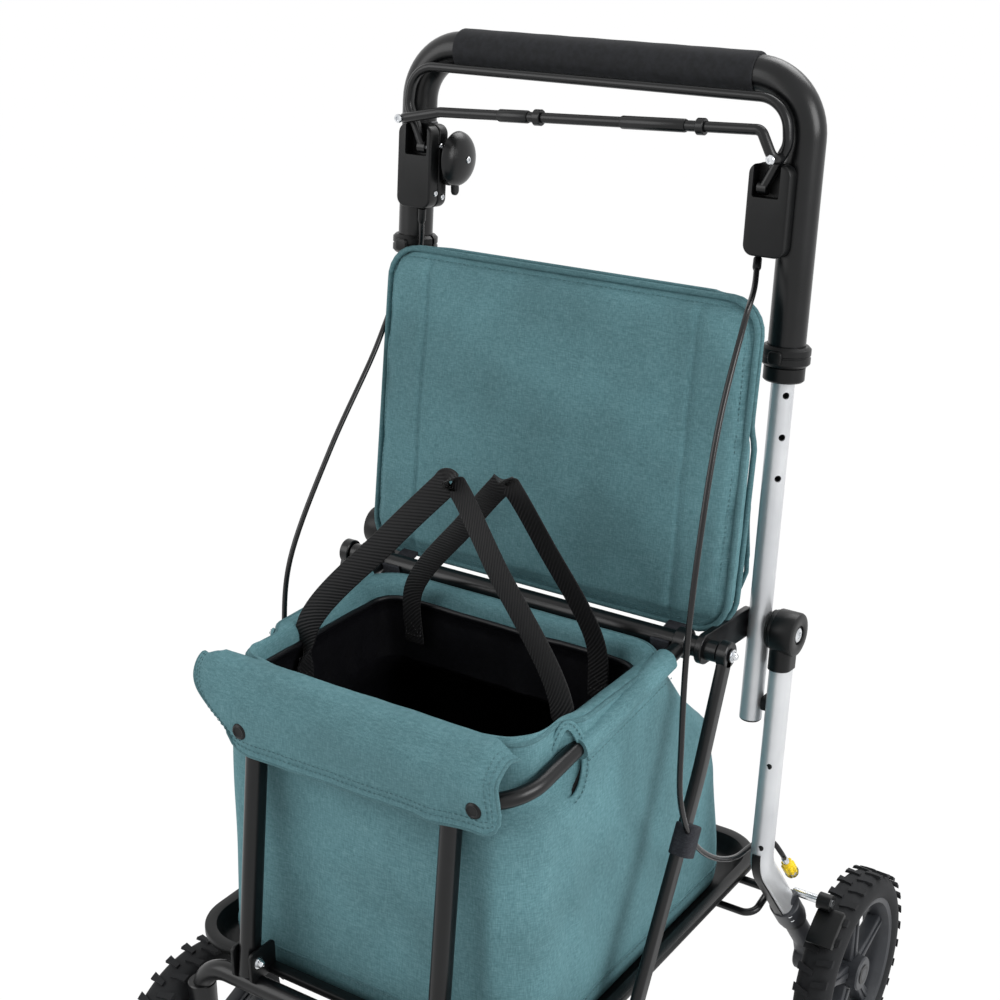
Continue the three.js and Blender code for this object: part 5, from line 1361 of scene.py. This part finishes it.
# How far the hanging cloth stands out or in at a place on its skin. Its front corners draw in where the
# seat tube runs outside them.
def bagSag(spot, z):
    rise = bagRise(z)
    calm = math.sin(math.pi * rise) ** 0.7 if 0 < rise < 1 else 0
    push = (3.0 * wrinkle((spot.x, spot.y, z * 0.45), 74, 2)
            + 1.5 * wrinkle((spot.x, spot.y, z * 0.35), 30, 6))
    if spot.y < bag["front"] + 12:
        for x, wide, deep in bag["frontFolds"]:
            lean = 16 * (rise - 0.5)
            push += deep * ridge(spot.x - x - lean, wide) * math.sin(math.pi * min(rise * 1.1, 1))
    if abs(spot.x) > bag["half"] - 14:
        for y, wide, deep in bag["sideFolds"]:
            push += deep * ridge(spot.y - y - 30 * (1 - rise), wide)
    tuck = ease(z, 424, 448) * ease(-spot.y, 112, 136) * ease(abs(spot.x), 104, 130)
    return push * calm - bag["tuck"] * tuck


# The bag's real skin at a height, as a closed line standing out from it by the given amount.
def shellLine(z, out, size):
    loop = bagLoop(-out, z, size)
    centre = sum(loop, Vector()) / size
    line = []
    for index, p in enumerate(loop):
        way = loop[(index + 1) % size] - loop[index - 1]
        outward = Vector((way.y, -way.x, 0)).normalized()
        if outward.dot(p - centre) < 0:
            outward.negate()
        line.append(p + outward * bagSag(p, z))
    return line


def outFromBag(spot):
    away = spot.y - bag["middle"]
    if abs(spot.x) / bag["half"] > abs(away) / bag["halfDeep"]:
        return Vector((math.copysign(1, spot.x), 0, 0))
    return Vector((0, math.copysign(1, away), 0))


def clothOn(piece, thick, offset=0):
    cloth = piece.modifiers.new("cloth", "SOLIDIFY")
    cloth.thickness = thick / 1000
    cloth.offset = offset
    return applyModifiers(piece)


def linerLoop(inset, size=160):
    shape = roundRect(2 * (liner["half"] - inset), liner["rear"] - liner["front"] - 2 * inset,
                      liner["corner"] - inset, 10)
    middle = (liner["rear"] + liner["front"]) / 2
    return [Vector((p.x, p.y + middle, 0)) for p in evenLoop([(x, y, 0) for x, y in shape], size)]


# The folded hem that closes the mouth from the bag's rim in to the liner, raised in front under the flap.
def buildHem(size):
    outer, inner = shellLine(bag["top"], -0.6, size), linerLoop(-0.8, size)
    rows = [(0, -14), (0, -0.6), (0.06, 1.2), (0.3, 1.6), (0.62, 0.6), (0.86, -2.4), (1, -8), (1, -20)]
    points = []
    for share, rise in rows:
        for far, near in zip(outer, inner):
            spot = far.lerp(Vector((near.x, near.y, bag["top"])), share)
            lift = (bag["deck"] - bag["top"] - 3) * ease(-spot.y, 140, 176) * ease(share, 0, 0.3)
            spot.z += rise + lift + 0.8 * wrinkle((spot.x, spot.y, 0), 34, 7) * ease(share, 0, 0.3)
            points.append(spot)
    band = turnOutward(meshFrom("mouth_hem", points, skinFaces(len(rows), size, caps=False)))
    return clothOn(band, bag["wall"])


def buildBag():
    size, count = bag["size"], 50
    points = []
    for row in range(count):
        z = bag["low"] + (bag["top"] - bag["low"]) * row / (count - 1)
        points += shellLine(z, -3.0 * ridge(z - bag["low"], 5), size)
    faces = skinFaces(count, size, caps=False) + [tuple(range(size))]
    shell = clothOn(turnOutward(meshFrom("sack", points, faces)), bag["wall"], -1)
    parts = [shell, buildHem(size)]
    # The sleeves run along the seat tube's sides, from behind the front corners.
    frontEnd = Vector((seat["half"], seat["y"], seat["z"]))
    railWay = Vector((seat["rearHalf"], crossbar["y"], crossbar["z"])) - frontEnd

    def alongRail(reach, steps, sign, shift=(0, 0, 0)):
        spots = [frontEnd + railWay * (bag["sleeveAt"] + reach * i / steps) for i in range(steps + 1)]
        return [mirror(spot + Vector(shift), sign) for spot in spots]

    section = [(u * (1 + 0.05 * math.sin(i)), v) for i, (u, v) in enumerate(circle(bag["sleeve"], 24))]
    parts += [sweep("sleeve", alongRail(0.53, 24, sign), section) for sign in (1, -1)]
    place(weld("canvas_sack", parts), tealCanvas, "front_frame", ["bag"], angle=55)

    hemLoop = shellLine(bag["low"] + bag["hem"], 0.4, 260)
    stitchRow("foot_hem_stitches", hemLoop + hemLoop[:1], "front_frame", outFromBag)
    for name, up, out, section in (
            ("foot_seam", bag["low"] + bag["hem"] + 2.5, 0.1, circle(0.9, 6)),
            ("mouth_piping", bag["top"] + 0.6, -0.4, circle(bag["piping"], 10))):
        cord = sweep(name, shellLine(up, out, 260), section, sideways=(0, 0, 1), loop=True)
        place(cord, tealPiping, "front_frame", angle=60)
    for side, sign in sides.items():
        line = alongRail(0.5, 40, sign, (8.2, 0, -11.5))
        stitchRow("sleeve_stitches_" + side, line, "front_frame", (sign, 0, -0.3))
        buildSlot(side, sign)


# The slot behind each front corner where the seat tube goes into the sack, bound with a folded tape.
def buildSlot(side, sign):
    slot = {"x": 152, "y": -131, "z": 463, "tall": 33, "wide": 17, "tape": (2.4, 8)}
    centre = Vector((sign * slot["x"], slot["y"], slot["z"]))
    normal = Vector((sign * 0.86, -0.5, 0.08)).normalized()
    run = Vector((0, 0, 1)).cross(normal).normalized()
    lean = normal.cross(run)
    loop = []
    for u, v in circle(1, 56):
        wide = slot["wide"] * u * (1 - 0.3 * max(0, v))  # narrower towards its top
        loop.append(centre + run * wide + lean * slot["tall"] * v - normal * 0.006 * wide * wide)
    section = roundRect(*slot["tape"], 1.1, 3)
    binding = sweep("slot_binding_" + side, loop, section, sideways=normal, loop=True)
    place(binding, tealCanvas, "front_frame", angle=60)
    grown = [centre + (p - centre) * 1.06 + normal * 1.7 for p in loop]
    stitchRow("slot_stitches_" + side, grown + grown[:1], "front_frame", normal)
    depth = [(0.94, 0.6), (0.9, -3), (0.7, -7), (0.35, -9)]
    points = [centre + (p - centre) * share + normal * low for share, low in depth for p in loop]
    well = meshFrom("slot_lining_" + side, points, bottomed(len(depth), len(loop)))
    place(clothOn(well, 1), linerNylon, "front_frame", angle=60)


# Flap: folds over the front of the seat tube and snaps down
flap = {
    "start": -190, "shoulder": -206, "front": -227, "deck": 505.6, "high": 496, "knee": 480, "low": 440,
    "edges": ((-173, -119), (145, 149)),  # left and right ends, on top and at the lower edge
    "bend": (118, 62.5), "hem": 7, "wide": 150, "long": 64, "wall": 2.6, "piping": 1.8,
}


# The flap's profile from its sewn edge over the tube to its lower edge: y, z and the length so far.
def makeFlapLine():
    corners = [(0, flap["start"], flap["deck"] - 1.5), (0, flap["shoulder"], flap["deck"] + 0.6),
               (0, flap["front"], flap["knee"] + 4), (0, flap["front"], flap["low"])]
    path = bent(corners, [15, 17], 10)
    line, total = [], 0.0
    for index, p in enumerate(path):
        total += (p - path[index - 1]).length if index else 0
        line.append((p.y, p.z, total))
    return line


flapLine = makeFlapLine()


# A place on the flap and the cloth's outward direction, across from -1 to 1 and down from 0 to 1.
def flapPoint(across, down, lift=0.0):
    reach = flapLine[-1][2] * down
    before, after = next(pair for pair in zip(flapLine[:-1], flapLine[1:]) if reach <= pair[1][2] + 1e-6)
    t = (reach - before[2]) / (after[2] - before[2])
    y, z = before[0] + (after[0] - before[0]) * t, before[1] + (after[1] - before[1]) * t
    tangent = Vector((0, after[0] - before[0], after[1] - before[1])).normalized()
    normal = Vector((0, tangent.z, -tangent.y))
    hang = ease(flap["high"] - z, 0, flap["high"] - flap["low"])
    left, right = (top + (foot - top) * ease(down, 0.25, 1) for top, foot in flap["edges"])
    x = left + (right - left) * (across + 1) / 2
    start, reachOut = flap["bend"]
    turn = min(max(abs(x) - start, 0) / reachOut, 0.97)
    y += reachOut * (1 - math.sqrt(1 - turn * turn)) * ease(flap["start"] - y, 0, 20) * 0.5
    x += 13 * ease(-across, 0.8, 1) * ease(down, 0.2, 0)
    z -= 11 * ease(abs(across), 0.86, 1) * ease(down, 0.5, 0)  # the ends droop over the tube's bends
    cornerRound = 22 * (1 - math.sqrt(1 - (max(0, abs(across) - 0.86) / 0.14) ** 2))
    z += hang * (cornerRound * 0.6 + 2 * across)
    wave = 1.6 * wrinkle((x, 0, z * 0.5), 44, 1) + 0.8 * wrinkle((x, 0, z), 18, 5)
    for spot in snaps.values():  # a dimple at each snap, with a fold on either side
        wave += hang * (2.4 * ridge(x - spot + 34, 14) + 1.6 * ridge(x - spot - 20, 10)
                        - 2.8 * ridge(x - spot, 24))
    long = flapLine[-1][2]
    for away in (long * (1 - down) - flap["hem"], (1 - abs(across)) * (right - left) / 2 - flap["hem"]):
        wave -= 0.9 * ridge(away, 2.2)
    return Vector((x, y, z)) + normal * (wave * (0.35 + 0.65 * hang) + lift), normal


def buildFlap():
    wide, long = flap["wide"], flap["long"]
    points = [flapPoint(2 * i / wide - 1, j / long)[0] for j in range(long + 1) for i in range(wide + 1)]
    starts = [j * (wide + 1) + i for j in range(long) for i in range(wide)]
    faces = [(a, a + 1, a + wide + 2, a + wide + 1) for a in starts]
    panel = clothOn(turnOutward(meshFrom("snap_flap", points, faces)), flap["wall"])
    place(panel, tealCanvas, "front_frame", ["bag_flap"], angle=55)

    # A line round the flap's three free edges, drawn in by a share of its size.
    def edgeLine(inset, down, lift):
        left = [flapPoint(-1 + inset, down * d / 40, lift)[0] for d in range(40)]
        low = [flapPoint((1 - inset) * (a / 60 * 2 - 1), down, lift)[0] for a in range(61)]
        return left + low + [flapPoint(1 - inset, down * (1 - d / 40), lift)[0] for d in range(1, 41)]

    cord = sweep("flap_binding", edgeLine(0, 1, 0), circle(flap["piping"], 8), sideways=(1, 0, 0))
    place(cord, tealPiping, "front_frame", angle=60)
    for inset, down, name in ((0.032, 0.935, "outer"), (0.062, 0.875, "inner")):
        stitchRow("flap_stitches_" + name, edgeLine(inset, down, 1.5), "front_frame", (0, -0.85, 0.3))
    for side, x in snaps.items():
        left, right = (edge + (foot - edge) * 0.6 for edge, foot in flap["edges"])
        spot, normal = flapPoint(2 * (x - left) / (right - left) - 1, 0.78, 1.2)
        profile = [(0, -0.6), (6.9, -0.6), (7.2, 0.2), (6.6, 1.4), (5.2, 2.2), (4.4, 2.0), (4.0, 1.5),
                   (0, 1.3)]
        outward = normal if normal.y < 0 else -normal
        place(lathe("snap_cap_" + side, profile, spot, outward, 32), blackNylon, "front_frame")


# Liner: a black nylon basket inside the sack, with a folded rim.
def buildLiner():
    size = 160
    rows = [(4.4, -60), (3.2, -46), (2.6, -30), (2.6, -16), (2.6, -6), (3.6, -5), (4.4, -3.5), (4.2, -1),
            (2.6, 0.2), (0.4, -0.4), (-0.4, -2.5), (0.2, -5), (1.2, -7), (1.2, -30), (1.6, -59.6)]
    points = []
    for inset, drop in rows:  # how far in from the liner's outline, and how far down from its rim
        for p in linerLoop(inset, size):
            droop = 3.4 * wrinkle((p.x, p.y, 0), 60, 12) * (1 if drop > -20 else 0.6)
            slack = 3.6 * wrinkle((p.x, p.y, drop), 22, 2) * min(1, -drop / 24) if drop < 0 else 0
            inward = Vector((-p.x, -(p.y + 80), 0)).normalized()
            p = Vector((p.x, p.y, liner["top"] + drop + min(droop, 0) - 0.4))
            points.append(p + inward * max(slack, 0))
    band = turnOutward(meshFrom("liner_band", points, skinFaces(len(rows), size, loop=True)))
    place(band, linerNylon, "front_frame", ["liner"], angle=55)
    # The basket's walls and floor below the band
    rows, points, top, low = 34, [], liner["top"] - 56, bag["low"] + 8.5
    for row in range(rows):
        share = row / (rows - 1)
        z = top - share * (top - low)
        for near, far in zip(linerLoop(3.4, size), bagLoop(7.5, z, size)):
            p = Vector((near.x, near.y, z)).lerp(far, ease(share, 0, 0.31))
            inward = Vector((-p.x, -(p.y + 60), 0)).normalized()
            slack = 5 + 8 * wrinkle((p.x, p.y, z * 0.4), 42, 21) + 4 * wrinkle((p.x, p.y, z), 20, 3)
            points.append(p + inward * slack * min(1, share * 4))
    basket = turnOutward(meshFrom("basket_wall", points, bottomed(rows, size)))
    place(clothOn(basket, liner["wall"]), linerNylon, "front_frame", angle=60)


# Carrying straps: ribbed webbing sewn inside the liner, drawn up to a folded peak
straps = {
    "front": {"half": 132, "foot": -111, "peak": (-8, -60, 646), "wide": 23, "side": True},
    "rear": {"half": 98, "foot": 5.7, "peak": (31, -36, 645), "wide": 20, "side": False},
}
strap = {"foot": 446, "rim": 500, "middle": 590, "thick": 1.7, "steps": 26, "folded": 0.2, "sewn": 466}


def buildStrap(name, half, foot, peak, wide, side):
    peak = Vector(peak)

    # A place on a leg of the strap, at a share of the way in to the peak and of its rise from the foot.
    def onLeg(sign, across, share, z):
        return (sign * half + (peak.x - sign * half) * across, foot + (peak.y - foot) * share, z)

    right, left = ([onLeg(sign, 0, 0, strap["foot"]), onLeg(sign, 0.02, 0.1, strap["rim"]),
                    onLeg(sign, 0.6, 0.62, strap["middle"]), (peak.x + 9 * sign, peak.y, peak.z - 9)]
                   for sign in (1, -1))
    path = spline(right + [peak] + left[::-1], strap["steps"])
    count = len(path)
    section = roundRect(wide, strap["thick"], 0.8, 2)
    verts, uvs, travelled = [], [], 0.0
    for index, spot in enumerate(path):
        tangent = (path[min(index + 1, count - 1)] - path[max(index - 1, 0)]).normalized()
        travelled += (spot - path[index - 1]).length if index else 0
        middle = 1 - abs(2 * index / (count - 1) - 1)  # nothing at a foot, one at the peak
        facing = Vector((0, -1, 0)).cross(tangent).normalized()
        turned = ease(middle, 0.86, 1)  # at the peak the hand would fold it flat
        turned = max(turned, ease(middle, 0.22, 0.04)) if side else turned
        deep = Vector((0, 1, 0)) * (1 if index <= count / 2 or not side else -1)
        across = facing.lerp(deep, turned)
        across = (across - tangent * across.dot(tangent)).normalized()
        normal = tangent.cross(across)
        for u, v in section:
            verts.append(spot + across * u + normal * v)
            uvs.append((travelled / 1000, u / 1000))
    piece = meshFrom("strap_" + name + "_webbing", verts, skinFaces(count, len(section)))
    layer = piece.data.uv_layers.new(name="along")
    for corner in piece.data.loops:
        layer.data[corner.index].uv = uvs[corner.vertex_index]
    turnOutward(piece)
    place(piece, blackWebbing, "front_frame", ["strap_" + name], angle=50)
    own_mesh(piece)
    # A stitched cross where each end is sewn down
    cross = [(-8, 6), (8, 6), (8, -12), (-8, -12), (-8, 6), (8, -12)]
    lift = strap["thick"] / 2 + 0.7
    for end, sign in sides.items():
        if side:
            box = [(sign * (half - lift), foot + u, strap["sewn"] + v) for u, v in cross]
        else:
            box = [(sign * half + u, foot - lift, strap["sewn"] + v) for u, v in cross]
        out = (-sign, 0, 0) if side else (0, -1, 0)
        stitchRow(f"strap_sewing_{name}_{end}", box, "front_frame", out, strapThread, 2.4, 1.2, 0.6)


# Brake cables: each runs from its housing down to the adjuster on the leg, in two stretches that meet by the
# pivot
cables = {
    "right": [(170, 127, 812), (180, 103, 799), (193, 62, 784), (200, 11, 716), (205, -24, 629),
              (207, -43, 541)],
    "left": [(-170, 127, 812), (-175, 128, 775), (-191, 108, 730), (-193, 78, 688), (-200, 18, 610),
             (-207, -37, 518)],
}
cableFoot = [(208, -48, 463), (208, -46, 407), (207.6, -24, 359), (206, 20, 316), (204.6, 72, 287),
             (205, 112, 280), (210, 138, 270)]
cable = {"radius": 2.5, "lead": 10, "join": 50, "low": (207.6, -24, 359)}


# One stretch of a hose, swept along its path and baked in place; its length comes back in metres.
def buildHose(name, side, path):
    piece = sweep(name + "_" + side, path, circle(cable["radius"], 14), sideways=(0, 1, 0))
    smooth(piece, 70)
    piece.data.materials.append(pvcSleeve)
    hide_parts("brake_cable_" + side)
    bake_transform(piece)
    real = [at(*p) for p in path]
    length = sum((b - a).length for a, b in zip(real[:-1], real[1:]))
    return length


def buildCables():
    top = adjusterBase - legSlope * (adjuster["long"] + adjuster["stemLong"] + 0.6)
    for side, sign in sides.items():
        foot = [mirror(p, sign) for p in cableFoot + [top - legSlope * cable["lead"], top]]
        path = spline(cables[side] + foot, 10)
        join, low = cable["join"], mirror(cable["low"], sign)
        length = buildHose("brake_hose_upper", side, path[:join + 1])
        length += buildHose("brake_hose_lower", side, path[join:][::-1])
        way = (path[1] - path[0]).normalized()
        ferrule = lathe("cable_ferrule_" + side, [(2.6, 0), (3.6, 0.4), (3.6, 11), (2.6, 14), (2.6, 0)],
                        path[0] - way * 7, way, 20)
        place(ferrule, blackNylon, "handle_top")
        clipAt = min(range(len(path)), key=lambda index: (path[index] - low).length)
        band = lathe("cable_clip_" + side, [(2.7, -7), (4.4, -6.2), (4.4, 6.2), (2.7, 7), (2.7, -7)],
                     path[clipAt], path[clipAt + 1] - path[clipAt - 1], 20)
        place(band, blackNylon, "rear_frame")
        print("brake cable", side, round(length, 3), "m")


buildLid()
buildPocket()
print("lid and back pocket ready")
buildBag()
buildFlap()
buildLiner()
print("bag, flap and liner ready")
for strapName, strapSizes in straps.items():
    buildStrap(strapName, **strapSizes)
buildCables()
print("straps and brake cables ready")
